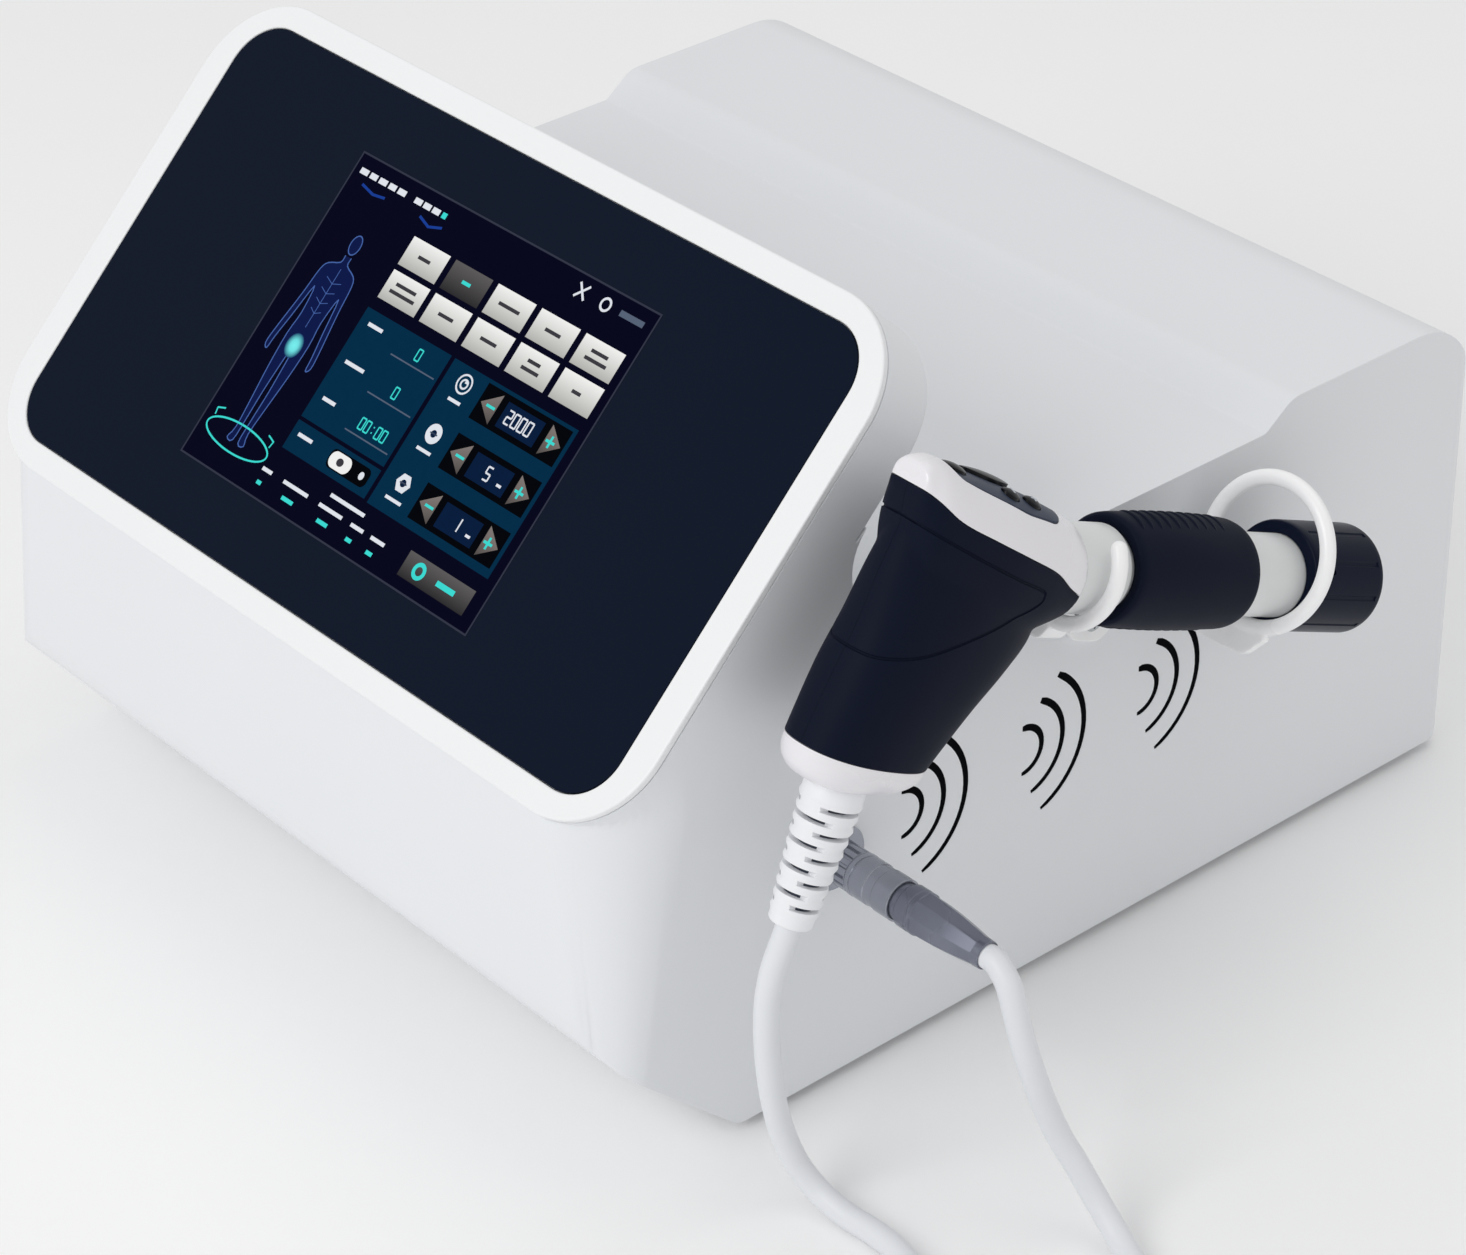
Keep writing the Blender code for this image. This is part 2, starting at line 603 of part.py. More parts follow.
def pad_outline():
    """Outline (x, along) of the button pad, widest at its rear."""
    return rounded([(-0.0080, -0.0300, 0.007), (0.0080, -0.0300, 0.007), (0.0131, 0.0060, 0.030),
                    (0.0118, 0.0270, 0.008), (-0.0118, 0.0270, 0.008), (-0.0131, 0.0060, 0.030)], 4)


def oval(length, width, centre):
    return [Vector((centre[0] + width / 2 * math.cos(a), centre[1] + length / 2 * math.sin(a)))
            for a in (2 * math.pi * k / 20 for k in range(20))]


# name, length, width, centre (x, along), height above the pad
BUTTONS = (("front_button", 0.0085, 0.0100, (0.0, -0.0225), 0.0012),
           ("trigger_button", 0.0230, 0.0110, (-0.0040, -0.0020), 0.0020),
           ("minus_button", 0.0075, 0.0058, (0.0068, 0.0010), 0.0014),
           ("plus_button", 0.0075, 0.0058, (0.0068, 0.0125), 0.0014))


def buttons():
    """The pad let into the cap, and the buttons that sink into it along its normal."""
    pad = place(slab("button_pad", [pad_outline()], 0.0040, "slate"), PAD, (0, 0, -0.0012))
    for name, length, width, centre, height in BUTTONS:
        well = slab(name + "_well", [oval(length + 2 * GAP, width + 2 * GAP, centre)], 0.0060)
        cut(pad, place(well, PAD, (0, 0, 0.0005 + 0.0005)))
        top = 0.0008 + height
        bottom = -0.0003
        place(slab(name, [oval(length, width, centre)], top - bottom, "rubber"), PAD,
              (0, 0, (top + bottom) / 2))


def strain_relief():
    """Tapered boot below the collar, with staggered relief slots on both sides."""
    s, top, bottom = RELIEF
    profile = [(CORD_RADIUS + 0.0012, 0), (0.0105, 0), (0.0112, -0.004), (0.0100, -0.012),
               (0.0075, bottom - top), (CORD_RADIUS + 0.0012, bottom - top)]
    boot = turned("strain_relief", profile, "cord", 20, True)
    place(boot, HANDPIECE, (0, s, top - GAP))
    for row in range(6):
        depth = -0.012 - row * 0.0058
        for side in (-1, 1):
            notch = box("relief_slot", (0.012, 0.013, 0.0018))
            cut(boot, place(notch, HANDPIECE, (side * 0.0125, s, top + depth - 0.0014 * side)))


def barrel():
    """Neck, rubber sleeve, metal tube, end cap and the parts that make the stroke, turned about the barrel."""
    tube_end = 0.1320
    core = turned("barrel_tube", [(TUBE_RADIUS, tube_end), (TUBE_RADIUS, SLEEVE[1] + 0.001),
                                  (0.0132, SLEEVE[1]), (0.0132, SLEEVE[0] + 0.001), (NECK_RADIUS, SLEEVE[0] - GAP),
                                  (NECK_RADIUS, GAP), (0.0095, GAP), (0.0095, tube_end)], "steel", 28, True)
    place(core, HANDPIECE, rotation=TURN_TO_S)
    a, b = SLEEVE[0] + 0.0002, SLEEVE[1] - GAP
    sleeve = [(0.0136, b), (0.0180, b), (0.0189, b - 0.002)]
    sleeve += [(0.0193 + 0.0006 * math.sin(math.pi * k / 6), b - 0.004 - (b - a - 0.008) * k / 6)
               for k in range(7)]
    sleeve += [(0.0189, a + 0.002), (0.0180, a + 0.0010), (0.0155, a + 0.0010), (0.0136, a + 0.0020)]
    place(turned("barrel_sleeve", sleeve, "navy_grip", 28, True), HANDPIECE, rotation=TURN_TO_S)

    a, b = END_CAP
    r = END_CAP_RADIUS
    cap = turned("end_cap", [(r - 0.004, b), (r - 0.0008, b), (r, b - 0.0012), (r, a + 0.0010), (r - 0.001, a),
                             (TUBE_RADIUS + GAP, a), (TUBE_RADIUS + GAP, tube_end + GAP),
                             (0.0085, tube_end + GAP), (0.0085, b - 0.003), (r - 0.004, b - 0.003)],
                 "slate", 28, True)
    place(cap, HANDPIECE, rotation=TURN_TO_S)
    place(turned("transmitter", [(0, b + 0.0040), (0.0060, b + 0.0034), (0.0078, b + 0.0015), (0.0078, b - 0.0250),
                                 (0.0050, b - 0.0270), (0, b - 0.0270)], "steel", 20),
          HANDPIECE, rotation=TURN_TO_S)
    guide_end = b - 0.0270 - 0.0010
    place(turned("guide_tube", [(0.0046, guide_end), (0.0046, 0.012), (0.0033, 0.012), (0.0033, guide_end)],
                 "steel", 16, True), HANDPIECE, rotation=TURN_TO_S)
    place(turned("drive_coil", [(0.0088, 0.078), (0.0088, 0.030), (0.0050, 0.030), (0.0050, 0.078)],
                 "copper", 16, True), HANDPIECE, rotation=TURN_TO_S)
    place(cylinder("projectile", 0.0029, 0.020, "steel", 12), HANDPIECE, (0, 0.030, 0), TURN_TO_S)


# ---------------------------------------------------------------- plug and cord

def plug():
    """Push-pull plug: nose in the socket, sliding lock sleeve, tapered back end."""
    here = (HALF_WIDTH, SOCKET_Y, SOCKET_Z)
    place(turned("plug_body", [(0, 0.0735), (0.0050, 0.0735), (0.0066, 0.0600), (0.0077, 0.0420),
                               (0.0077, 0.0370), (0.0056, 0.0365), (0.0056, 0.0028), (0.0052, 0.0022),
                               (0.0052, -0.0090), (0, -0.0090)], "connector", 24), UNIT, here, TURN_TO_X)
    place(turned("plug_sleeve", [(0.0072, 0.0338), (0.0074, 0.0290), (0.0074, 0.0230), (0.0078, 0.0220),
                                 (0.0078, 0.0180), (0.0072, 0.0170), (0.0072, 0.0030), (0.0059, 0.0030),
                                 (0.0059, 0.0338)], "connector", 24, True), UNIT, here, TURN_TO_X)


def smooth_route(points, spacing):
    """A straight lead to the second point, then points at even spacing along a smooth curve."""
    path = [Vector(point) for point in points[1:]]
    ends = [2 * path[0] - path[1]] + path + [2 * path[-1] - path[-2]]
    fine = [path[0]]
    for before, here, there, after in zip(ends, ends[1:], ends[2:], ends[3:]):
        for k in range(1, 13):
            t = k / 12
            fine.append(((2 * here) + (there - before) * t + (2 * before - 5 * here + 4 * there - after) * t ** 2
                         + (3 * here - before - 3 * there + after) * t ** 3) / 2)
    length = sum((b - a).length for a, b in zip(fine, fine[1:]))
    count = max(2, round(length / spacing))
    even = [fine[0]]
    walked = 0.0
    for a, b in zip(fine, fine[1:]):
        step = (b - a).length
        while len(even) < count and walked + step >= len(even) * length / count:
            even.append(a.lerp(b, (len(even) * length / count - walked) / step))
        walked += step
    return [Vector(points[0])] + even + [fine[-1]]


# The cord's route in the console's frame: from the strain relief to the coil, and from the plug to the coil
GROUND = CORD_RADIUS - FOOT_HEIGHT + 0.0001
COIL_CENTRE = Vector((0.352, -0.212, 0))
COIL_RADIUS = 0.0479
HANDPIECE_RUN = ((0.2150, -0.1612, 0.1068), (0.2150, -0.1636, 0.1018), (0.2150, -0.1678, 0.0930),
                 (0.2150, -0.1705, 0.0820), (0.2150, -0.1711, 0.0680), (0.2150, -0.1703, 0.0540),
                 (0.2150, -0.1684, 0.0400), (0.2158, -0.1656, 0.0260), (0.2190, -0.1622, 0.0130),
                 (0.2262, -0.1592, 0.0042), (0.2384, -0.1578, 0.0007), (0.2516, -0.1566, GROUND),
                 (0.2640, -0.1575, GROUND), (0.2760, -0.1620, GROUND), (0.2855, -0.1710, GROUND),
                 (0.2902, -0.1830, GROUND), (0.2914, -0.1960, GROUND))
PLUG_RUN = ((0.2530, -0.1100, 0.0900), (0.2565, -0.1100, 0.0898), (0.2630, -0.1108, 0.0850),
            (0.2666, -0.1110, 0.0765), (0.2702, -0.1105, 0.0650), (0.2740, -0.1090, 0.0528),
            (0.2772, -0.1065, 0.0410), (0.2810, -0.1037, 0.0300), (0.2864, -0.1014, 0.0212),
            (0.2945, -0.1000, 0.0110), (0.3050, -0.1010, 0.0036), (0.3180, -0.1050, GROUND),
            (0.3330, -0.1115, GROUND), (0.3490, -0.1205, GROUND), (0.3650, -0.1320, GROUND),
            (0.3800, -0.1475, GROUND), (0.3920, -0.1638, GROUND))


def cord():
    """The cord as plain solids: a tube from each end, and a ring for the coil of its spare length."""
    place(tube("cord_handpiece_run", smooth_route(HANDPIECE_RUN, 0.012), CORD_RADIUS, "cord"), UNIT)
    place(tube("cord_plug_run", smooth_route(PLUG_RUN, 0.012), CORD_RADIUS, "cord"), UNIT)
    inner = COIL_RADIUS - 2 * CORD_RADIUS
    outer = COIL_RADIUS + 2 * CORD_RADIUS
    low = GROUND - CORD_RADIUS
    place(turned("cord_coil", [(outer - 0.003, low + 0.0166), (outer, low + 0.0120), (outer, low + 0.0030),
                               (outer - 0.003, low), (inner + 0.003, low), (inner, low + 0.0030),
                               (inner, low + 0.0120), (inner + 0.003, low + 0.0166)], "cord", 32, True),
          UNIT, COIL_CENTRE)


clear_scene()
PARTS = collection("shock_wave_therapy_unit")
CUTTERS = collection("cutters")
UNIT = empty("unit", None, UNIT_PLACE)
SCREEN = empty("screen", UNIT, POD_CENTRE, (TILT, 0, 0))
HOLDER = empty("holder", UNIT, BARREL_START, (-BARREL_PITCH, 0, 0))
HANDPIECE = empty("handpiece", UNIT, BARREL_START, (-BARREL_PITCH, 0, 0))
PAD = empty("pad", HANDPIECE, (0, -0.0395, 0.0265), (-math.atan(0.21), 0, 0))

main_casing()
base()
screen()
electronics()
rear()
socket()
holder()
grip()
buttons()
strain_relief()
barrel()
plug()
cord()
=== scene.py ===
"""Looks of the portable shock-wave therapy unit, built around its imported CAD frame.

Metres in the frame's own axes: +Z up, -Y the side that the screen faces, +X the side that holds the handpiece.
Every piece is built in one of four places, CONSOLE, SCREEN, BARREL and PAD, which are read from the frame.
"""
import math
from math import cos, pi, radians, sin
from types import SimpleNamespace

import bmesh
import bpy
from mathutils import Matrix, Vector
from mathutils.bvhtree import BVHTree


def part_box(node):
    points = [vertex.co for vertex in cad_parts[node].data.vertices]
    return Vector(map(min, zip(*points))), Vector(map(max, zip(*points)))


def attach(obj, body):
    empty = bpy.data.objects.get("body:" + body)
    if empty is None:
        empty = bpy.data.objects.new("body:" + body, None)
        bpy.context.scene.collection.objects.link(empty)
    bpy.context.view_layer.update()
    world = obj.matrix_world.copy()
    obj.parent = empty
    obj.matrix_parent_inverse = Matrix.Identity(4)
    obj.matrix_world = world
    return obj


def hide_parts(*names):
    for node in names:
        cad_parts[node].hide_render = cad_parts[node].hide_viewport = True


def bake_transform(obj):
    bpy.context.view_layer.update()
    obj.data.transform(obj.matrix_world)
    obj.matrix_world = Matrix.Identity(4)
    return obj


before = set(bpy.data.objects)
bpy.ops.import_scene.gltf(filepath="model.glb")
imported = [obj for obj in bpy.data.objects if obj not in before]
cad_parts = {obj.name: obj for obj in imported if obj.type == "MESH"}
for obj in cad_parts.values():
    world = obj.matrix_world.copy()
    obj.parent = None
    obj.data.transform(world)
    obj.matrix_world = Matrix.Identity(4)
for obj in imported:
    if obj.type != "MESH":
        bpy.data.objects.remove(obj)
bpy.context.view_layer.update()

# Driving dimensions of the console, metres, as in the CAD
GAP = 0.0003
WALL = 0.003
HALF_WIDTH = 0.179
REAR_Y = 0.201
FRONT_Y = -0.206
DECK_Z = 0.173
TOP_Z = 0.1823
STEP_Y = 0.09
VALLEY_RADIUS = 0.022
CORNERS = ((0.0055, -0.01), (0.036, 0.135), (0.036, 0.3))    # radius of the front corners at a height
TILT = radians(45.2)
POD_HEIGHT = 0.193
POD_DEPTH = 0.028
POD_RADIUS = 0.035
BEZEL = 0.003
GLASS_WIDTH = 0.332
GLASS_HEIGHT = 0.1732
GLASS_RADIUS = 0.019

# The handpiece, in its own frame: x across, s along the barrel to the rear, t up
BARREL_REACH = 0.036
BARREL_PITCH = radians(24)
STRIKER_S = 0.03
NECK_RADIUS = 0.015
TUBE_RADIUS = 0.0143
SLEEVE = (0.0242, 0.0875)
END_CAP = (0.1166, 0.1549)
END_CAP_RADIUS = 0.019
RING_S = 0.1095
RING_RADIUS = 0.0255
ROD_RADIUS = 0.0028
HOOK_S = 0.011
HOOK_RADIUS = NECK_RADIUS + GAP + ROD_RADIUS + 0.0015
HOOK_SWEEP = 126                        # degrees from its lowest point up round the neck
SLEEVE_RIBS = 10
RELIEF_SLOTS = 9
RELIEF = (-0.0665, -0.0737, -0.1235)
CORD_RADIUS = 0.00435

SOCKET = Vector((HALF_WIDTH, -0.11, 0.09))
VENT_CENTRE = (-0.024, 0.0924)
VENT_PITCH = 0.0557
VENT_ARCS = ((0.0093, 90, -90), (0.0193, 64, -76), (0.0295, 56, -71))
VENT_STROKE = (0.0028, 0.0021)


# ---- Places read from the frame

def middle(node):
    low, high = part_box(node)
    return (low + high) / 2


def turn(degrees, axis):
    return Matrix.Rotation(radians(degrees), 4, axis)


def at(x, y, z):
    return Matrix.Translation((x, y, z))


PLATE_Y = 0.0235                        # the base plate's middle in the console's frame
UNIT = Vector((middle("base_plate").x, middle("base_plate").y - PLATE_Y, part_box("base_plate")[0].z))
CONSOLE = at(*UNIT)
FACE_NORMAL = Vector((0, -sin(TILT), cos(TILT)))
SCREEN = (Matrix.Translation(middle("touch_glass") + FACE_NORMAL * (BEZEL + GAP) / 2)
          @ Matrix.Rotation(TILT, 4, "X"))
POD_CENTRE = SCREEN.translation - UNIT
BARREL_AXIS = Vector((0, cos(BARREL_PITCH), -sin(BARREL_PITCH)))
BARREL = (Matrix.Translation(middle("projectile") - BARREL_AXIS * STRIKER_S)
          @ Matrix.Rotation(-BARREL_PITCH, 4, "X"))
PAD = BARREL @ at(0, -0.0395, 0.0265) @ Matrix.Rotation(-math.atan(0.21), 4, "X")

ALONG_X = Matrix(((0, 0, 1, 0), (1, 0, 0, 0), (0, 1, 0, 0), (0, 0, 0, 1)))     # an outline in (y, z)
ALONG_S = turn(90, "X")                 # an outline in (x, t), thick along -s
TURN_TO_X = turn(90, "Y")               # a turned piece along +X
TURN_TO_S = turn(-90, "X")              # a turned piece along the barrel


# ---- Tools

def added(name, data):
    """New object in the scene."""
    item = bpy.data.objects.new(name, data)
    bpy.context.scene.collection.objects.link(item)
    return item


def piece(name, work, place):
    """Object of a finished bmesh, its points moved to where place puts them."""
    bmesh.ops.remove_doubles(work, verts=work.verts, dist=0.000004)
    bmesh.ops.recalc_face_normals(work, faces=work.faces)
    mesh = bpy.data.meshes.new(name)
    work.to_mesh(mesh)
    work.free()
    mesh.transform(place)
    return added(name, mesh)


def skin(name, rows, place, capped=True, looped=False):
    """Surface over rows of equally many points; capped closes both ends, looped joins last to first."""
    work = bmesh.new()
    layers = [[work.verts.new(point) for point in row] for row in rows]
    pairs = list(zip(layers, layers[1:]))
    if looped:
        pairs.append((layers[-1], layers[0]))
    count = len(layers[0])
    for lower, upper in pairs:
        for i in range(count):
            j = (i + 1) % count
            work.faces.new((lower[i], lower[j], upper[j], upper[i]))
    if capped:
        work.faces.new(list(reversed(layers[0])))
        work.faces.new(layers[-1])
    return piece(name, work, place)


def prism(name, outline, low, high, place):
    """Flat piece of a closed outline (a, b), from low to high along place's Z."""
    return skin(name, [[(a, b, z) for a, b in outline] for z in (low, high)], place)


def box(name, size, place):
    x, y, z = (length / 2 for length in size)
    return prism(name, [(-x, -y), (x, -y), (x, y), (-x, y)], -z, z, place)


def turned(name, profile, place, steps=96, closed=False, shape=None):
    """Piece turned about place's Z: profile is (radius, z), and closed is for one with a bore.
    shape(angle, radius, z) gives a changed radius, for ribs and flats."""
    rows = []
    for radius, z in profile:
        row = []
        for k in range(steps):
            angle = 2 * pi * k / steps
            here = shape(angle, radius, z) if shape else radius
            row.append((here * cos(angle), here * sin(angle), z))
        rows.append(row)
    return skin(name, rows, place, capped=False, looped=closed)


def tube(name, points, radius, place=Matrix(), sides=20):
    """Round bar along the points, closed at both ends."""
    path = [Vector(point) for point in points]
    side = (path[1] - path[0]).orthogonal().normalized()
    rows = []
    for i, here in enumerate(path):
        ahead = (path[min(i + 1, len(path) - 1)] - path[max(i - 1, 0)]).normalized()
        side = (side - ahead * side.dot(ahead)).normalized()
        other = ahead.cross(side)
        rows.append([here + radius * (cos(a) * side + sin(a) * other)
                     for a in (2 * pi * k / sides for k in range(sides))])
    return skin(name, rows, place)


def rounded(corners, steps=12):
    """Closed outline through (a, b, radius) corners, each turned into an arc of its radius."""
    outline = []
    for i, (a, b, radius) in enumerate(corners):
        here = Vector((a, b))
        if not radius:
            outline.append(here)
            continue
        back = (Vector(corners[i - 1][:2]) - here).normalized()
        ahead = (Vector(corners[(i + 1) % len(corners)][:2]) - here).normalized()
        half = back.angle(ahead) / 2
        centre = here + (back + ahead).normalized() * radius / sin(half)
        start = here + back * radius / math.tan(half) - centre
        end = here + ahead * radius / math.tan(half) - centre
        sweep = math.atan2(start.x * end.y - start.y * end.x, start.dot(end))
        first = math.atan2(start.y, start.x)
        for k in range(steps + 1):
            angle = first + sweep * k / steps
            outline.append(centre + radius * Vector((cos(angle), sin(angle))))
    return outline


def rectangle(width, height, radius=0.0, centre=(0, 0), steps=12):
    a, b = centre
    return rounded([(a + i * width / 2, b + j * height / 2, radius) for i,
                    j in ((-1, -1), (1, -1), (1, 1), (-1, 1))], steps)


def ellipse(width, height, centre=(0, 0), steps=48):
    return [Vector((centre[0] + width / 2 * cos(a), centre[1] + height / 2 * sin(a)))
            for a in (2 * pi * k / steps for k in range(steps))]


def inset(outline, distance):
    """The outline moved inwards by distance; the outline runs anticlockwise."""
    moved = []
    for i, here in enumerate(outline):
        back = (here - outline[i - 1]).normalized()
        ahead = (outline[(i + 1) % len(outline)] - here).normalized()
        inward = Vector((-back.y - ahead.y, back.x + ahead.x))
        moved.append(here + inward * distance / (1 + back.dot(ahead)))
    return moved


def smooth_line(points, steps):
    """Smooth curve through the points, with steps pieces between one point and the next."""
    path = [Vector(point) for point in points]
    ends = [2 * path[0] - path[1]] + path + [2 * path[-1] - path[-2]]
    line = [path[0]]
    for before, here, there, after in zip(ends, ends[1:], ends[2:], ends[3:]):
        for k in range(1, steps + 1):
            t = k / steps
            line.append(((2 * here) + (there - before) * t + (2 * before - 5 * here + 4 * there - after)
                         * t ** 2 + (3 * here - before - 3 * there + after) * t ** 3) / 2)
    return line


def applied(item, kind, **settings):
    """Give item the mesh that one modifier makes of it."""
    modifier = item.modifiers.new("step", kind)
    for key, value in settings.items():
        setattr(modifier, key, value)
    bpy.context.view_layer.update()
    mesh = bpy.data.meshes.new_from_object(item.evaluated_get(bpy.context.evaluated_depsgraph_get()))
    item.modifiers.clear()
    item.data = mesh
    return item


def bevel(item, width, segments=3, angle=40):
    return applied(item, "BEVEL", width=width, segments=segments, limit_method="ANGLE",
                   angle_limit=radians(angle))


def boolean(item, operand, operation="DIFFERENCE"):
    applied(item, "BOOLEAN", operation=operation, solver="EXACT", object=operand)
    bpy.data.objects.remove(operand, do_unlink=True)
    return item


def merged(item, others, voxel, smoothing=6):
    """One smooth form of overlapping closed forms, with soft inner corners."""
    work = bmesh.new()
    for one in [item] + others:
        work.from_mesh(one.data)
    work.to_mesh(item.data)
    work.free()
    for other in others:
        bpy.data.objects.remove(other, do_unlink=True)
    applied(item, "REMESH", mode="VOXEL", voxel_size=voxel)
    applied(item, "SMOOTH", factor=0.5, iterations=smoothing)
    return item


def shown(item, paint, body, *nodes, sharp=35):
    """Give a built piece its material and smooth shading; it rides on body and stands for the CAD nodes."""
    item.data.materials.clear()
    item.data.materials.append(PAINT[paint])
    item.data.shade_smooth()
    item.data.set_sharp_from_angle(angle=radians(sharp))
    applied(item, "WEIGHTED_NORMAL", keep_sharp=True)
    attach(item, body)
    if nodes:
        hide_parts(*nodes)
    return item


# ---- Materials

GRAIN_DEPTH = 0.00004


def linear(red, green, blue):
    """Linear colour of a display colour given as 0 to 255."""
    return [((value / 255 + 0.055) / 1.055) ** 2.4 if value > 10 else value / 255 / 12.92
            for value in (red, green, blue)]


def link(material, start, end):
    material.node_tree.links.new(start, end)


def put(node, **values):
    """Set inputs of a node by their names, with an underscore for each space."""
    for name, value in values.items():
        node.inputs[name.replace("_", " ")].default_value = value


def texture(material, scale, detail):
    """Noise in the piece's own coordinates."""
    nodes = material.node_tree.nodes
    coordinates = nodes.new("ShaderNodeTexCoord")
    noise = nodes.new("ShaderNodeTexNoise")
    put(noise, Scale=scale, Detail=detail)
    link(material, coordinates.outputs["Object"], noise.inputs["Vector"])
    return noise.outputs["Fac"]


def mixed(material, factor, first, second):
    """Colour that runs from first to second with factor."""
    mix = material.node_tree.nodes.new("ShaderNodeMix")
    mix.data_type = "RGBA"
    put(mix, A=(*first, 1), B=(*second, 1))
    link(material, factor, mix.inputs["Factor"])
    return mix.outputs["Result"]


def ranged(material, factor, low, high):
    """Value that runs from low to high with a noise's usual spread."""
    spread = material.node_tree.nodes.new("ShaderNodeMapRange")
    put(spread, From_Min=0.3, From_Max=0.7, To_Min=low, To_Max=high)
    link(material, factor, spread.inputs["Value"])
    return spread.outputs["Result"]


def surface(name, colour, roughness, metallic=0.0, mottle=0.03, grain=1500, relief=0.15, specular=0.5,
            coat=0.0):
    """Moulded, painted or metal surface: slight mottling, uneven gloss and a fine grain."""
    material = bpy.data.materials.new(name)
    material.use_nodes = True
    shader = material.node_tree.nodes["Principled BSDF"]
    put(shader, Metallic=metallic, Specular_IOR_Level=specular, Coat_Weight=coat, Coat_Roughness=0.12)
    base = linear(*colour)
    patches = texture(material, 14.0, 4.0)
    link(material, mixed(material, patches, [value * (1 - mottle) for value in base],
                         [min(1.0, value * (1 + mottle)) for value in base]), shader.inputs["Base Color"])
    link(material, ranged(material, patches, max(0.02, roughness - 0.05), roughness + 0.05),
         shader.inputs["Roughness"])
    bump = material.node_tree.nodes.new("ShaderNodeBump")
    put(bump, Strength=relief, Distance=GRAIN_DEPTH)
    link(material, texture(material, grain, 2.0), bump.inputs["Height"])
    link(material, bump.outputs["Normal"], shader.inputs["Normal"])
    return material


def lit(name, colour, dark=None):
    """Part of the picture on the screen: it glows, and runs from dark to colour with the points' Shade."""
    material = bpy.data.materials.new(name)
    material.use_nodes = True
    nodes = material.node_tree.nodes
    shader = nodes["Principled BSDF"]
    put(shader, Base_Color=(0, 0, 0, 1), Roughness=0.25, Specular_IOR_Level=0.01, Emission_Strength=1.0)
    bright = linear(*colour)
    if dark is None:
        glow = mixed(material, texture(material, 260.0, 2.0), [0.9 * value for value in bright], bright)
    else:
        shade = nodes.new("ShaderNodeAttribute")
        shade.attribute_name = "Shade"
        glow = mixed(material, shade.outputs["Fac"], linear(*dark), bright)
    link(material, glow, shader.inputs["Emission Color"])
    return material


def made_materials():
    """Every material of the unit by name."""
    return {
        "casing": surface("moulded_white", (233, 235, 238), 0.42, grain=2200, mottle=0.012),
        "bezel": surface("bezel_white", (243, 244, 245), 0.34, grain=2600, mottle=0.008),
        "glass": surface("dark_glass", (17, 25, 41), 0.16, mottle=0.05, relief=0.01, specular=0.03),
        "navy": surface("navy_rubber", (12, 19, 37), 0.55, mottle=0.1, grain=2600, relief=0.3, specular=0.08),
        "cap": surface("pearl_white", (236, 234, 238), 0.28, mottle=0.012, coat=0.25),
        "slate": surface("slate_plastic", (46, 56, 76), 0.42, mottle=0.05, specular=0.2),
        "end_cap": surface("dark_anodised", (9, 17, 38), 0.3, mottle=0.06, specular=0.08),
        "holder": surface("holder_white", (253, 253, 254), 0.3, mottle=0.01, coat=0.2),
        "key": surface("glossy_black", (8, 10, 16), 0.26, mottle=0.1, relief=0.03, specular=0.2),
        "mark": surface("pale_mark", (205, 210, 220), 0.45, mottle=0.03),
        "satin": surface("satin_metal", (229, 231, 231), 0.34, mottle=0.02, metallic=0.08, grain=2600,
                         relief=0.1),
        "plug": surface("nickel_plating", (158, 161, 171), 0.24, mottle=0.05, metallic=0.75, relief=0.08),
        "plug_back": surface("grey_backshell", (124, 127, 141), 0.26, mottle=0.05, metallic=0.6, relief=0.1),
        "cord": surface("grey_pvc", (230, 232, 236), 0.44, mottle=0.02, grain=1800),
        # dark grey of the core in the strain relief: painted shade at the bottoms of its slots
        "shadow": surface("painted_shade_grey", (58, 62, 74), 0.6, mottle=0.05, specular=0.1),
        "boot": surface("boot_white", (243, 244, 247), 0.4, mottle=0.015, grain=1800),
        "steel": surface("zinc_steel", (186, 190, 192), 0.3, mottle=0.06, metallic=0.95),
        "rubber": surface("black_rubber", (24, 24, 27), 0.72, mottle=0.12, relief=0.4),
        "black": surface("black_nylon", (30, 30, 34), 0.5, mottle=0.1, relief=0.3),
        # near-black sheet behind the vent slots: painted shade in the slots
        "mesh": surface("vent_painted_shade", (5, 6, 9), 0.85, mottle=0.2, grain=900, relief=0.5, specular=0.04),
        "board": surface("green_board", (28, 96, 58), 0.45, mottle=0.12, grain=500),
        "copper": surface("enamelled_copper", (196, 118, 70), 0.32, mottle=0.08, metallic=0.9, grain=900),
        "brass": surface("brass_pin", (190, 158, 96), 0.28, mottle=0.05, metallic=0.95),
    }


PAINT = made_materials()


# ---- Camera, light and floor

def camera():
    """Camera with a lens of about 107 mm, turned by its azimuth, its height above the horizon and its roll."""
    data = bpy.data.cameras.new("camera")
    data.lens = 107.45
    data.sensor_width = 36
    data.clip_end = 50
    item = added("camera", data)
    item.matrix_world = (CONSOLE @ at(1.0556, -0.894, 0.9291) @ turn(49.746, "Z") @ turn(90 - 32.505, "X")
                         @ turn(-0.969, "Z"))
    bpy.context.scene.camera = item


def area_light(name, place, target, size, power):
    data = bpy.data.lights.new(name, "AREA")
    data.shape = "DISK"
    data.size = size
    data.energy = power
    item = added(name, data)
    item.location = place
    item.rotation_euler = (Vector(target) - Vector(place)).to_track_quat("-Z", "Y").to_euler()


def studio():
    """Pale floor, an even pale surround and soft lamps, the main one at the front left."""
    world = bpy.data.worlds.new("studio")
    world.use_nodes = True
    put(world.node_tree.nodes["Background"], Color=(1, 1, 1, 1), Strength=0.64)
    bpy.context.scene.world = world
    bpy.context.scene.view_settings.view_transform = "Standard"
    area_light("key", (0.1, -2.3, 1.9), (0, 0, 0.08), 1.6, 23)
    area_light("top", (0.2, 0.7, 2.4), (0, 0, 0.1), 1.8, 5)
    floor = prism("floor", rectangle(12, 12), -0.01, 0, Matrix())
    floor.data.materials.append(surface("pale_floor", (254, 254, 254), 0.75, mottle=0.004, relief=0.05,
                                        specular=0.1))


# ---- Cord

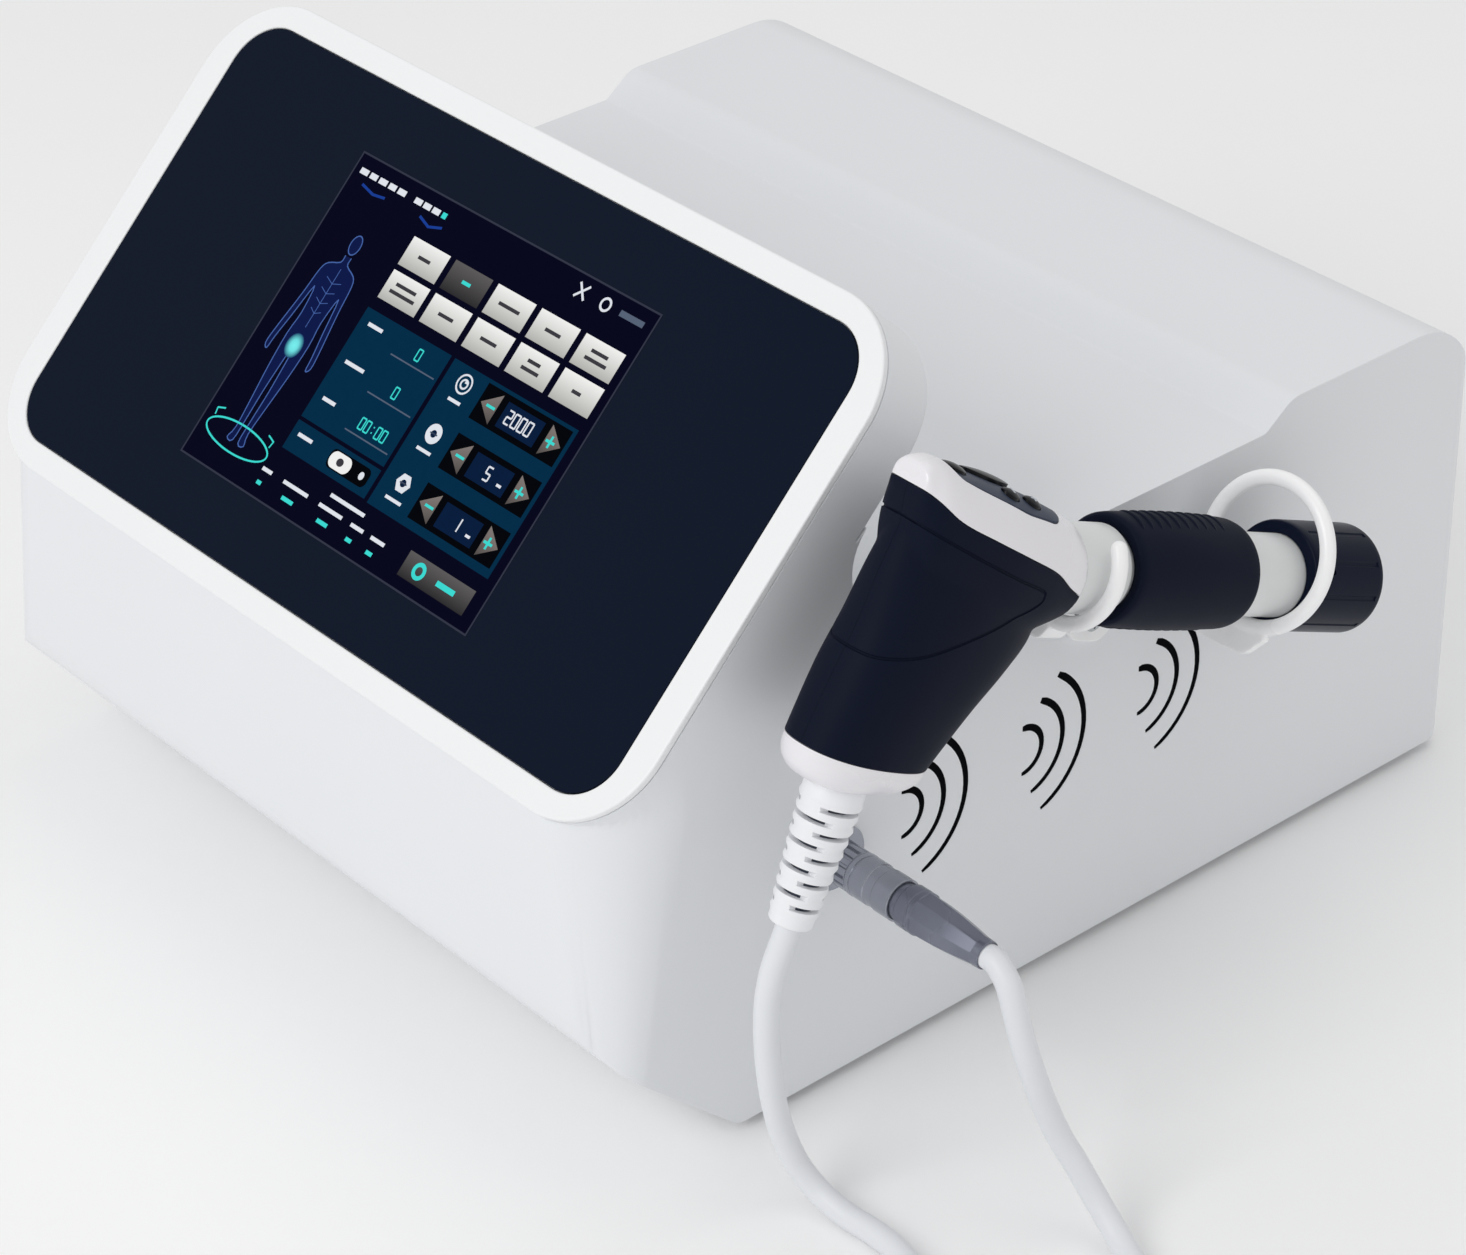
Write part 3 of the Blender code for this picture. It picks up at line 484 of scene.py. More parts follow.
# The route in the console's frame: from the strain relief to the coil, and from the plug to the coil
GROUND = CORD_RADIUS - UNIT.z + 0.0001
COIL_CENTRE = Vector((0.352, -0.212, 0))
COIL_RADIUS = 0.0479
COIL_TURNS = 4                          # passes of the direction in which the plug's run leaves
HANDPIECE_RUN = ((0.215, -0.1612, 0.1068), (0.215, -0.1636, 0.1018), (0.215, -0.1678, 0.093),
                 (0.215, -0.1705, 0.082), (0.215, -0.1711, 0.068), (0.215, -0.1703, 0.054),
                 (0.215, -0.1684, 0.04), (0.2158, -0.1656, 0.026), (0.219, -0.1622, 0.013),
                 (0.2262, -0.1592, 0.0042), (0.2384, -0.1578, 0.0007), (0.2516, -0.1566, GROUND),
                 (0.264, -0.1575, GROUND), (0.276, -0.162, GROUND), (0.2855, -0.171, GROUND),
                 (0.2902, -0.183, GROUND), (0.2914, -0.196, GROUND))
PLUG_RUN = ((0.247, -0.11, 0.09), (0.253, -0.11, 0.09), (0.2565, -0.11, 0.0898), (0.263, -0.1108, 0.085),
            (0.2666, -0.111, 0.0765), (0.2702, -0.1105, 0.065), (0.274, -0.109, 0.0528),
            (0.2772, -0.1065, 0.041), (0.281, -0.1037, 0.03), (0.2864, -0.1014, 0.0212),
            (0.2945, -0.1, 0.011), (0.305, -0.101, 0.0036), (0.318, -0.105, GROUND), (0.333, -0.1115, GROUND),
            (0.349, -0.1205, GROUND), (0.365, -0.132, GROUND), (0.38, -0.1475, GROUND),
            (0.392, -0.1638, GROUND))


def eased(share):
    share = min(1.0, max(0.0, share))
    return share * share * (3 - 2 * share)


def coil_lane(degrees, total, arrival, departure):
    """Radius and height of the coil's cord after so many degrees: two turns on the ground, two on them.
    The cord rolls over its neighbour where it climbs and where it comes down again."""
    pitch = 2.02 * CORD_RADIUS
    outer = COIL_RADIUS + pitch / 2
    inner = COIL_RADIUS - pitch / 2
    if degrees < 360:
        return outer + (arrival - outer) * (1 - eased(degrees / 60)), 0.0
    if degrees < 720:
        return outer - pitch * eased((degrees - 360) / 60), 0.0
    if degrees < 1000:
        share = eased((degrees - 720) / 60)
        roll = pi / 2 * share
        return outer - pitch * share - pitch * cos(roll), pitch * sin(roll)
    if degrees < total - 80:
        return inner + pitch * eased((degrees - 1045) / 60), pitch
    share = eased((degrees - total + 80) / 80)
    roll = pi / 2 * (1 - share)
    return outer + pitch * cos(roll) + (departure - outer - pitch) * share, pitch * sin(roll)


def coil_route():
    """Points of the coil, from the end of the handpiece's run to the end of the plug's run."""
    first = Vector(HANDPIECE_RUN[-1]) - COIL_CENTRE
    last = Vector(PLUG_RUN[-1]) - COIL_CENTRE
    start = math.degrees(math.atan2(first.y, first.x))
    total = math.degrees(math.atan2(last.y, last.x)) + 360 * COIL_TURNS - start
    count = round(total / 12)
    points = []
    for k in range(1, count):
        degrees = total * k / count
        radius, lift = coil_lane(degrees, total, first.xy.length, last.xy.length)
        angle = radians(start + degrees)
        points.append(COIL_CENTRE + Vector((radius * cos(angle), radius * sin(angle), GROUND + lift)))
    return points


def cord():
    """The one cord from the handpiece's strain relief through its coil to the plug."""
    s, _, bottom = RELIEF
    lead = [BARREL @ Vector((0, s, bottom + 0.012)) - UNIT]
    route = smooth_line(lead + list(HANDPIECE_RUN) + coil_route() + list(reversed(PLUG_RUN)), 4)
    path = [UNIT + Vector((point.x, point.y, max(point.z, GROUND))) for point in route]
    item = tube("handpiece_cord", path, CORD_RADIUS)
    item.data.materials.append(PAINT["cord"])
    item.data.shade_smooth()
    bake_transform(item)
    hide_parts("cord_handpiece_run", "cord_coil", "cord_plug_run")


# ---- Console

def pod_point(v, depth):
    """Point (y, z) at v up the screen and depth behind its face."""
    up = Vector((cos(TILT), sin(TILT)))
    inward = Vector((sin(TILT), -cos(TILT)))
    return Vector((POD_CENTRE.y, POD_CENTRE.z)) + v * up + depth * inward


def lower_body_outline():
    """Side profile of the console without the pod's slab, anticlockwise in (y, z)."""
    front = pod_point(-POD_HEIGHT / 2, BEZEL + 0.001)
    ledge_out = pod_point(0.03, BEZEL + 0.001)
    ledge_in = pod_point(0.03, POD_DEPTH - 0.0006)
    valley = Vector((-0.0797, DECK_Z + VALLEY_RADIUS))
    fillet = [valley + VALLEY_RADIUS * Vector((cos(a), sin(a)))
              for a in (TILT + radians(90) + k * (pi - TILT) / 20 for k in range(21))]
    edge = [(*point, 0) for point in [front, ledge_out, ledge_in] + fillet]
    clockwise = rounded(edge + [(STEP_Y, DECK_Z, 0.004), (STEP_Y + 0.013, TOP_Z, 0.012),
                                (REAR_Y - 0.004, TOP_Z, 0.03), (REAR_Y, 0, 0.008), (-0.153, 0, 0.008),
                                (FRONT_Y, 0.0495, 0.022)])
    return list(reversed(clockwise))


def vent_arc(radius, first, last, steps=20):
    """Outline (y, z) of one vent slot: a curved stroke that narrows downwards, with round ends."""
    outer = []
    inner = []
    for k in range(steps + 1):
        share = k / steps
        angle = radians(first + (last - first) * share)
        half = (VENT_STROKE[0] + (VENT_STROKE[1] - VENT_STROKE[0]) * share) / 2
        half *= min(1.0, 0.75 + 5 * share, 0.7 + 5 * (1 - share))
        ray = Vector((cos(angle), sin(angle)))
        outer.append((radius + half) * ray)
        inner.append((radius - half) * ray)
    return outer + list(reversed(inner))


def plan_form(name, distance=0.0):
    """Upright form of the plan, inset by distance: its front corners open out from the base up to the pod."""
    side = HALF_WIDTH + 0.0001
    rows = []
    for radius, height in CORNERS:
        plan = rounded([(-side, FRONT_Y, radius), (side, FRONT_Y, radius), (side, REAR_Y, 0.01),
                        (-side, REAR_Y, 0.01)], 16)
        rows.append([(x, y, height) for x, y in inset(plan, distance)])
    return skin(name, rows, CONSOLE)


def pod_form(rim=0.0022):
    """The pod's slab behind the bezel, with a rounded rim at its back."""
    outline = rectangle(2 * HALF_WIDTH, POD_HEIGHT, POD_RADIUS, steps=20)
    levels = [(rim * (1 - sin(a)), rim * (1 - cos(a)) - POD_DEPTH)
              for a in (pi / 2 * k / 6 for k in range(7))]
    levels.append((0, -BEZEL - GAP / 2))
    return skin("pod", [[(x, y, z) for x, y in inset(outline, edge)] for edge, z in levels], SCREEN)


def casing():
    """The moulded shell of lower body and pod, hollow, with the CAD shell's openings, and a near-black sheet
    behind its vents as painted shade.
    """
    outline = lower_body_outline()
    shell = bevel(prism("casing", outline, -HALF_WIDTH, HALF_WIDTH, CONSOLE @ ALONG_X), 0.0022, 4)
    boolean(shell, plan_form("plan"), "INTERSECT")
    boolean(shell, pod_form(), "UNION")
    hollow = prism("hollow", inset(outline, WALL), WALL - HALF_WIDTH, HALF_WIDTH - WALL, CONSOLE @ ALONG_X)
    boolean(hollow, plan_form("inner_plan", WALL), "INTERSECT")
    boolean(shell, hollow)
    boolean(shell, prism("face", rectangle(GLASS_WIDTH - 0.007, GLASS_HEIGHT - 0.007, 0.016),
                         WALL - POD_DEPTH, 0.001, SCREEN))
    boolean(shell, box("below", (2 * (HALF_WIDTH - WALL), 0.341, 0.012), CONSOLE @ at(0, PLATE_Y, 0)))
    boolean(shell, box("behind", (0.3, 0.02, 0.11), CONSOLE @ at(0, REAR_Y - 0.004, 0.075)))
    for group in (-1, 0, 1):
        for radius, first, last in VENT_ARCS:
            place = CONSOLE @ at(0, VENT_CENTRE[0] + group * VENT_PITCH, VENT_CENTRE[1]) @ ALONG_X
            boolean(shell, prism("vent", vent_arc(radius, first, last), HALF_WIDTH - 0.005,
                                 HALF_WIDTH + 0.005, place))
            # a near-black sheet just inside each vent slot: painted shade, so the slots read as dark lines
            mesh = prism(f"vent_shade_sheet_{group + 2}_{round(radius * 1000)}", vent_arc(radius, first, last),
                         HALF_WIDTH - WALL, HALF_WIDTH - 0.00015, place)
            shown(mesh, "mesh", "console")
    boolean(shell, turned("socket_hole", [(0, 0.006), (0.0088, 0.006), (0.0088, -0.006), (0, -0.006)],
                          CONSOLE @ at(*SOCKET) @ TURN_TO_X, 48))
    shown(shell, "casing", "console", "main_casing")


def screen_front():
    """Bezel with rounded edges, and the dark touch glass in it."""
    bezel = prism("bezel", rectangle(2 * HALF_WIDTH, POD_HEIGHT, POD_RADIUS, steps=20), -BEZEL, 0, SCREEN)
    window = rectangle(GLASS_WIDTH + 2 * GAP, GLASS_HEIGHT + 2 * GAP, GLASS_RADIUS, steps=16)
    boolean(bezel, prism("window", window, -2 * BEZEL, BEZEL, SCREEN))
    bevel(bezel, 0.0008, 4)
    shown(bezel, "bezel", "console", "screen_bezel")
    glass = prism("touch_panel", rectangle(GLASS_WIDTH, GLASS_HEIGHT, GLASS_RADIUS, steps=16), -BEZEL, -GAP,
                  SCREEN)
    shown(bevel(glass, 0.0002, 2), "glass", "console", "touch_glass")


# ---- The picture on the screen

MM = SCREEN @ Matrix.Scale(0.001, 4)
DISPLAY = (162.0, 122.5)                # the lit area, millimetres, about the screen's middle
COLUMNS = [-27 + 23.4 * k for k in range(5)]
KEY_ROWS = (38.6, 25.3)
SETTING_ROWS = [7.0 - 19.5 * k for k in range(3)]
READING_ROWS = (9.6, -5.5, -20.2)
FIGURE_X = -59.8
SEGMENTS = {"0": "abcdef", "1": "bc", "2": "abged", "5": "afgcd"}


class Ink:
    """Flat shapes of one colour on the screen, in millimetres, each on a layer above the glass."""

    def __init__(self, name, material):
        self.name = name
        self.material = material
        self.work = bmesh.new()
        self.shade = self.work.verts.layers.float.new("Shade")

    def shape(self, outline, layer, shades=None):
        height = -0.27 + 0.05 * layer
        points = [self.work.verts.new((x, y, height)) for x, y in outline]
        for k, point in enumerate(points):
            point[self.shade] = shades[k] if shades else 1.0
        self.work.faces.new(points)

    def bar(self, x, y, width, height, layer, graded=False):
        w, h = width / 2, height / 2
        self.shape([(x - w, y - h), (x + w, y - h), (x + w, y + h), (x - w, y + h)], layer,
                   (0, 0, 1, 1) if graded else None)

    def stroke(self, points, width, layer):
        """A line of even width through the points."""
        path = [Vector(point) for point in points]
        for i, (a, b) in enumerate(zip(path, path[1:])):
            across = Vector((a.y - b.y, b.x - a.x)).normalized() * width / 2
            reach = (b - a).normalized() * width / 4
            self.shape([a - reach - across, b + reach - across, b + reach + across, a - reach + across], layer)

    def ring(self, x, y, radius, width, layer):
        self.stroke(ellipse(2 * radius, 2 * radius, (x, y), 24) + [Vector((x + radius, y))], width, layer)

    def digits(self, text, x, y, height, layer):
        """Seven-segment digits centred on (x, y)."""
        w = height * 0.5
        t = height * 0.13
        pitch = height * 0.72
        centre = x - pitch * (len(text) - 1) / 2
        spots = {"a": (0, height / 2, w, t), "g": (0, 0, w, t), "d": (0, -height / 2, w, t),
                 "f": (-w / 2, height / 4, t, height / 2), "b": (w / 2, height / 4, t, height / 2),
                 "e": (-w / 2, -height / 4, t, height / 2), "c": (w / 2, -height / 4, t, height / 2)}
        for character in text:
            if character == ":":
                self.bar(centre, y + height / 4, t, t, layer)
                self.bar(centre, y - height / 4, t, t, layer)
            for segment in SEGMENTS.get(character, ""):
                dx, dy, width, tall = spots[segment]
                self.bar(centre + dx, y + dy, width, tall, layer)
            centre += pitch

    def done(self):
        mesh = bpy.data.meshes.new(self.name)
        self.work.to_mesh(mesh)
        self.work.free()
        mesh.transform(MM)
        mesh.materials.append(self.material)
        item = added(self.name, mesh)
        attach(item, "console")


def key_grid(pens):
    """Two rows of five keys with bars for their words; the second key is chosen."""
    for r, y in enumerate(KEY_ROWS):
        for c, x in enumerate(COLUMNS):
            chosen = (r, c) == (0, 1)
            (pens.dark_keys if chosen else pens.keys).bar(x, y, 20.4, 11.2, 2, graded=True)
            words = pens.cyan if chosen else pens.words
            width = (6.5, 4.5, 11.0, 8.0, 8.5)[(c + 2 * r) % 5]
            lines = 2 if (c + r) % 3 == 1 and not chosen else 1
            for k in range(lines):
                words.bar(x, y + 1.5 * (lines - 1) - 3.0 * k, width + 2.5 * k, 1.3, 3)


def readings(pens):
    """The left panel: three readings and a two-way selector."""
    pens.panels.bar(-15, -6.8, 47, 44, 2)
    pens.panels.bar(-15, -35.8, 47, 11.2, 2)
    for y, text, width in zip(READING_ROWS, ("0", "0", "00:00"), (8.0, 10.5, 7.0)):
        pens.white.bar(-34 + width / 2, y + 0.6, width, 1.4, 3)
        pens.cyan.digits(text, -5, y, 4.2, 3)
        pens.lines.bar(-5, y - 4.4, 24, 0.5, 3)
    pens.white.bar(-31, -34.6, 8.0, 1.4, 3)


def settings(pens):
    """The right panel: three settings, each with an icon, a value and a pair of arrows."""
    pens.panels.bar(43.5, -13.4, 66, 57, 2)
    for row, (y, text) in enumerate(zip(SETTING_ROWS, ("2000", "5", "1"))):
        pens.wells.bar(52.5, y, 44.5, 13.6, 3)
        pens.values.bar(52.5, y, 19.5, 9.4, 4)
        for sign in (-1, 1):
            x = 52.5 + sign * 16.6
            pens.arrows.shape([(x - sign * 3.6, y - 5.6), (x + sign * 4.4, y), (x - sign * 3.6, y + 5.6)], 4,
                              (0.2, 0.8, 1.0))
            pens.cyan.bar(x - sign * 0.8, y, 4.4, 1.0, 5)
            if sign > 0:
                pens.cyan.bar(x - sign * 0.8, y, 1.0, 4.4, 5)
        pens.white.digits(text, 51.8, y, 4.8, 5)
        if row:
            pens.white.bar(58.8, y - 1.6, 2.4, 1.0, 5)
        icon(pens, row, 20.6, y + 2.0)
        pens.white.bar(20.6, y - 4.6, 6.5 + row, 1.2, 3)


def icon(pens, kind, x, y):
    """The round icon of one setting: a dial, a target or a hexagon."""
    if kind == 0:
        pens.white.ring(x, y, 3.4, 0.7, 3)
        pens.white.ring(x, y, 1.6, 0.7, 3)
        pens.white.bar(x + 0.8, y + 0.8, 1.8, 0.8, 3)
        return
    pens.white.shape(ellipse(7.4, 7.4, (x, y), 24 if kind == 1 else 6), 3)
    pens.values.shape(ellipse(2.8, 2.8, (x, y), 16), 4)
    pens.lines.bar(x, y, 3.8, 0.6, 4)


def selector(pens):
    """Two-way selector below the readings."""
    pens.wells.shape(rectangle(22, 7.2, 2.4, (-5.5, -35.4), 6), 3)
    pens.keys.shape(rectangle(11.5, 6.2, 3.0, (-10.2, -35.4), 6), 4)
    pens.words.shape(ellipse(3.6, 3.0, (-10.2, -35.4), 16), 5)
    pens.white.shape(ellipse(2.6, 3.0, (1.8, -35.4), 16), 4)


def footer(pens):
    """Small readings along the bottom, and the stop key with its ring."""
    pens.white.bar(3.5, -46.2, 19, 1.4, 3)
    for x, width in ((-38.5, 5.5), (-22.0, 14.0), (-2.0, 13.0), (13.0, 7.0), (24.5, 7.5)):
        pens.white.bar(x, -51.0, width, 1.4, 3)
        pens.cyan.bar(x - 0.6, -56.0, width * 0.45, 1.5, 3)
    pens.dark_keys.bar(57.5, -52.0, 35, 9.4, 2, graded=True)
    pens.cyan.ring(48.2, -52.0, 2.4, 1.5, 3)
    pens.cyan.bar(62.5, -52.0, 9.5, 2.0, 3)


def header(pens):
    """A plain bar where a heading would be, and two icons and a bar at the right."""
    for k, width in enumerate((5.5, 5.0, 5.5, 5.0, 5.5)):
        pens.white.bar(-75.5 + 5.4 * k, 55.2, width * 0.8, 2.2, 2)
    for k in range(3):
        pens.white.bar(-44.5 + 5.0 * k, 55.2, 4.0, 2.2, 2)
    pens.cyan.bar(-30.0, 55.2, 2.4, 2.2, 2)
    pens.blue.stroke([(-73, 51.0), (-66, 49.6), (-60, 50.4)], 1.0, 2)
    pens.blue.stroke([(-40, 51.0), (-34, 49.2), (-28, 51.0)], 1.0, 2)
    pens.white.stroke([(42.2, 53.0), (47.0, 58.0)], 0.9, 2)
    pens.white.stroke([(42.2, 58.0), (47.0, 53.0)], 0.9, 2)
    pens.white.ring(57.0, 55.4, 2.2, 0.9, 2)
    pens.lines.bar(70.5, 55.4, 12.0, 2.2, 2)


# Right half of the standing figure, (across, up) in millimetres, from the neck round the arm to the crotch
FIGURE_HALF = ((1.6, 26.5), (2.0, 23.6), (7.2, 21.4), (9.2, 18.0), (10.2, 9.0), (11.4, 1.0), (12.8, -8.0),
               (13.2, -13.5), (11.4, -15.0), (10.8, -10.0), (9.2, -1.0), (7.0, 12.0), (5.6, 2.0), (6.4, -7.0),
               (5.8, -20.0), (4.6, -32.0), (3.6, -44.0), (4.8, -48.5), (1.6, -48.5), (1.3, -40.0),
               (1.4, -28.0), (0.8, -14.0))


def figure(pens):
    """A plain standing figure on a turntable ring, with a glowing spot at the hip."""
    half = smooth_line(FIGURE_HALF, 3)
    right = [Vector((FIGURE_X + p.x, p.y)) for p in half]
    left = [Vector((FIGURE_X - p.x, p.y)) for p in reversed(half)]
    pens.figure.shape(right + left, 2)
    pens.figure_lines.stroke(right, 0.45, 3)
    pens.figure_lines.stroke(left, 0.45, 3)
    head = ellipse(5.2, 7.4, (FIGURE_X, 31.2), 28)
    pens.figure.shape(head, 2)
    pens.figure_lines.stroke(head + [head[0]], 0.45, 3)
    pens.figure_lines.stroke([(FIGURE_X, 21.5), (FIGURE_X, -2.0)], 0.3, 3)
    for k in range(4):
        width = 4.0 - 0.4 * k
        pens.figure_lines.stroke([(FIGURE_X - width, 17.0 - 4.0 * k), (FIGURE_X, 15.6 - 4.0 * k),
                                  (FIGURE_X + width, 17.0 - 4.0 * k)], 0.25, 3)
    rim = ellipse(8.4, 9.6, (FIGURE_X, -9.5), 24)
    centre = Vector((FIGURE_X, -9.5))
    for a, b in zip(rim, rim[1:] + rim[:1]):
        pens.glow.shape([a, b, centre.lerp(b, 0.45), centre.lerp(a, 0.45)], 4, (0, 0, 0.85, 0.85))
        pens.glow.shape([centre, centre.lerp(a, 0.45), centre.lerp(b, 0.45)], 4, (1, 0.85, 0.85))
    turntable = ellipse(35, 10.5, (FIGURE_X, -47.5), 48)
    pens.cyan.stroke(turntable + [turntable[0]], 0.7, 3)
    for side in (-1, 1):
        pens.cyan.stroke([(FIGURE_X + side * 13, -40.5), (FIGURE_X + side * 16.5, -41.6),
                          (FIGURE_X + side * 16.0, -44.0)], 0.6, 3)


# The inks by piece: the end of the material's name, the colour, and the dark end of a graded ink
INKS = {"back": ("black", (7, 7, 30)), "edge": ("edge", (52, 56, 72)), "panels": ("teal", (3, 46, 74)),
        "lines": ("grey", (88, 100, 120)), "keys": ("key", (240, 240, 238), (176, 176, 172)),
        "dark_keys": ("dark_key", (92, 90, 90), (44, 43, 45)), "words": ("ink", (60, 60, 66)),
        "wells": ("well", (3, 5, 10)), "values": ("value", (8, 30, 62)),
        "arrows": ("arrow", (128, 120, 116), (58, 54, 54)), "white": ("white", (228, 232, 240)),
        "cyan": ("cyan", (62, 222, 214)), "blue": ("blue", (26, 62, 150)), "figure": ("figure", (15, 26, 74)),
        "figure_lines": ("figure_line", (72, 104, 172)), "glow": ("glow", (120, 240, 240), (15, 40, 96))}


def display():
    """The picture on the screen, drawn from generic shapes and numbers, without words."""
    pens = SimpleNamespace()
    for name, (paint, *shades) in INKS.items():
        setattr(pens, name, Ink("display_" + name, lit("screen_" + paint, *shades)))
    width, height = DISPLAY
    pens.back.bar(0, 0, width, height, 1)
    for side in (-1, 1):
        pens.edge.bar(side * width / 2, 0, 0.7, height + 0.7, 1.5)
        pens.edge.bar(0, side * height / 2, width, 0.7, 1.5)
    for draw in (key_grid, readings, settings, selector, footer, header, figure):
        draw(pens)
    for pen in vars(pens).values():
        pen.done()


# ---- Handpiece

def section(front, rear, half_width, power, count=72):
    """Ring of a super-ellipse whose long axis runs from front to rear, both (s, t)."""
    centre = (Vector(front) + Vector(rear)) / 2
    axis = (Vector(front) - Vector(rear)) / 2
    ring = []
    for k in range(count):
        angle = 2 * pi * k / count
        c, d = cos(angle), sin(angle)
        along = math.copysign(abs(c) ** (2 / power), c)
        across = math.copysign(abs(d) ** (2 / power), d) * half_width
        ring.append((across, centre.x + along * axis.x, centre.y + along * axis.y))
    return ring


# front s, front t, rear s, rear t, half width, power: sections up the handle, the last one inside the head
HANDLE = ((-0.0893, -0.066, -0.0372, -0.07, 0.0178, 2.4), (-0.089, -0.061, -0.036, -0.0655, 0.018, 2.4),
          (-0.085, -0.038, -0.025, -0.046, 0.0195, 2.4), (-0.0812, -0.02, -0.014, -0.032, 0.0197, 2.3),
          (-0.0793, -0.002, -0.006, -0.02, 0.0194, 2.1), (-0.0764, 0.014, -0.008, -0.006, 0.0172, 2.0))
# the same without the power: sections down the collar
COLLAR = ((-0.0892, -0.0613, -0.0358, -0.0658, 0.0181), (-0.0893, -0.065, -0.0368, -0.069, 0.018),
          (-0.088, -0.069, -0.04, -0.0718, 0.0165), (-0.0845, -0.0722, -0.045, -0.0735, 0.014),
          (-0.08, -0.0735, -0.05, -0.0738, 0.0115))
# s, lower t, upper t, half width, power: sections along the head, nose to barrel
HEAD = ((-0.079, 0.0226, 0.033, 0.0076, 2.6), (-0.076, 0.01, 0.0346, 0.01, 2.4),
        (-0.07, -0.006, 0.0346, 0.0142, 2.4), (-0.056, -0.018, 0.0306, 0.0177, 2.6),
        (-0.038, -0.022, 0.0262, 0.0195, 2.8), (-0.02, -0.0212, 0.0224, 0.019, 2.6),
        (-0.008, -0.0188, 0.0195, 0.0176, 2.3), (0.0, -0.0166, 0.0166, 0.0166, 2.0))
# lower edge of the cap (s, t), nose to barrel
CAP_EDGE = ((-0.1, 0.032), (-0.079, 0.026), (-0.066, 0.019), (-0.05, 0.0142), (-0.033, 0.0094),
            (-0.018, 0.0048), (-0.007, -0.001), (0.005, -0.0056))
# the moulded line on each side of the grip (s, t)
GRIP_LINE = ((-0.0827, -0.0281), (-0.08, -0.028), (-0.074, -0.0267), (-0.065, -0.0242), (-0.05, -0.018),
             (-0.031, -0.0102), (-0.0228, -0.0058), (-0.0212, -0.0033), (-0.023, -0.0008), (-0.035, 0.0024),
             (-0.053, 0.0076), (-0.069, 0.0126), (-0.078, 0.0157))


def grip_form():
    """The whole form of grip and cap, its head flowing into its handle."""
    handle = [section(row[0:2], row[2:4], row[4], row[5]) for row in smooth_line(HANDLE, 6)]
    head = [section((row[0], row[2]), (row[0], row[1]), row[3], row[4]) for row in smooth_line(HEAD, 6)]
    form = skin("grip_form", handle, BARREL)
    return merged(form, [skin("grip_head", head, BARREL)], 0.0008, 8)


def grip_line(form, side):
    """Round bar that follows the moulded line over the form's surface on one side."""
    tree = BVHTree.FromPolygons([v.co for v in form.data.vertices], [p.vertices for p in form.data.polygons])
    rays = [(Vector((side * 0.05, s, t)), Vector((-side, 0, 0))) for s, t in smooth_line(GRIP_LINE, 6)]
    for index, t in ((0, GRIP_LINE[0][1]), (len(rays), GRIP_LINE[-1][1])):
        rays.insert(index, (Vector((-side * 0.001, -0.15, t)), Vector((0, 1, 0))))
    points = []
    for start, direction in rays:
        spot, normal, face, distance = tree.ray_cast(BARREL @ start, BARREL.to_3x3() @ direction)
        if spot is not None:
            points.append(spot)
    return tube("grip_line", points, 0.0006, sides=10)


def grip():
    """Two rubber halves below the cap's edge with their moulded lines, the cap, and the collar."""
    whole = grip_form()
    edge = [tuple(point) for point in smooth_line(CAP_EDGE, 8)]
    below = edge + [(0.005, -0.069), (-0.1, -0.0601)]
    above = [(s, t + GAP) for s, t in edge] + [(0.005, 0.06), (-0.1, 0.06)]
    for name, side in (("grip_left_half", -1), ("grip_right_half", 1)):
        low, high = sorted((side * 0.00004, side * 0.035))
        half = prism(name + "_shell", below, low, high, BARREL @ ALONG_X)
        boolean(half, added("form", whole.data.copy()), "INTERSECT")
        boolean(half, grip_line(whole, side))
        shown(half, "navy", "handpiece", name, sharp=50)
    cap = prism("cap", above, -0.035, 0.035, BARREL @ ALONG_X)
    boolean(cap, whole, "INTERSECT")
    boolean(cap, prism("pad_recess", inset(pad_outline(), -GAP), -0.0035, 0.0165, PAD))
    shown(cap, "cap", "handpiece", "grip_cap", sharp=50)

    collar = skin("collar", [section(row[0:2], row[2:4], row[4], 2.3) for row in smooth_line(COLLAR, 5)],
                  BARREL)
    shown(collar, "cap", "handpiece", "grip_collar")


def pad_outline(steps=10):
    """Outline (x, along) of the button pad, widest at its rear."""
    return rounded([(-0.008, -0.03, 0.007), (0.008, -0.03, 0.007), (0.0131, 0.006, 0.03),
                    (0.0118, 0.027, 0.008), (-0.0118, 0.027, 0.008), (-0.0131, 0.006, 0.03)], steps)


# name, body, length, width, centre (x, along), height above the pad
BUTTONS = (("front_button", "front_key", 0.0085, 0.01, (0.0, -0.0225), 0.0012),
           ("trigger_button", "trigger", 0.023, 0.011, (-0.004, -0.002), 0.002),
           ("minus_button", "minus_key", 0.0075, 0.0058, (0.0068, 0.001), 0.0014),
           ("plus_button", "plus_key", 0.0075, 0.0058, (0.0068, 0.0125), 0.0014))


CROWN = 17.0                            # the pad and its buttons sink by this times x squared, as the cap does


def dome(name, outline, low, edge, crown, place, layers=8):
    """Button with a straight side from low to edge and a rounded top, bent over the cap's crown."""
    centre = sum(outline, Vector((0, 0))) / len(outline)
    rows = [[(x, y, low - CROWN * x * x) for x, y in outline]]
    for k in range(layers + 1):
        angle = pi / 2 * k / layers
        scale = max(0.02, 0.45 * cos(angle) + 0.55 * (1 - k / layers))
        height = edge + (crown - edge) * sin(angle)
        spots = [centre + (point - centre) * scale for point in outline]
        rows.append([(x, y, height - CROWN * x * x) for x, y in spots])
    return skin(name, rows, place)


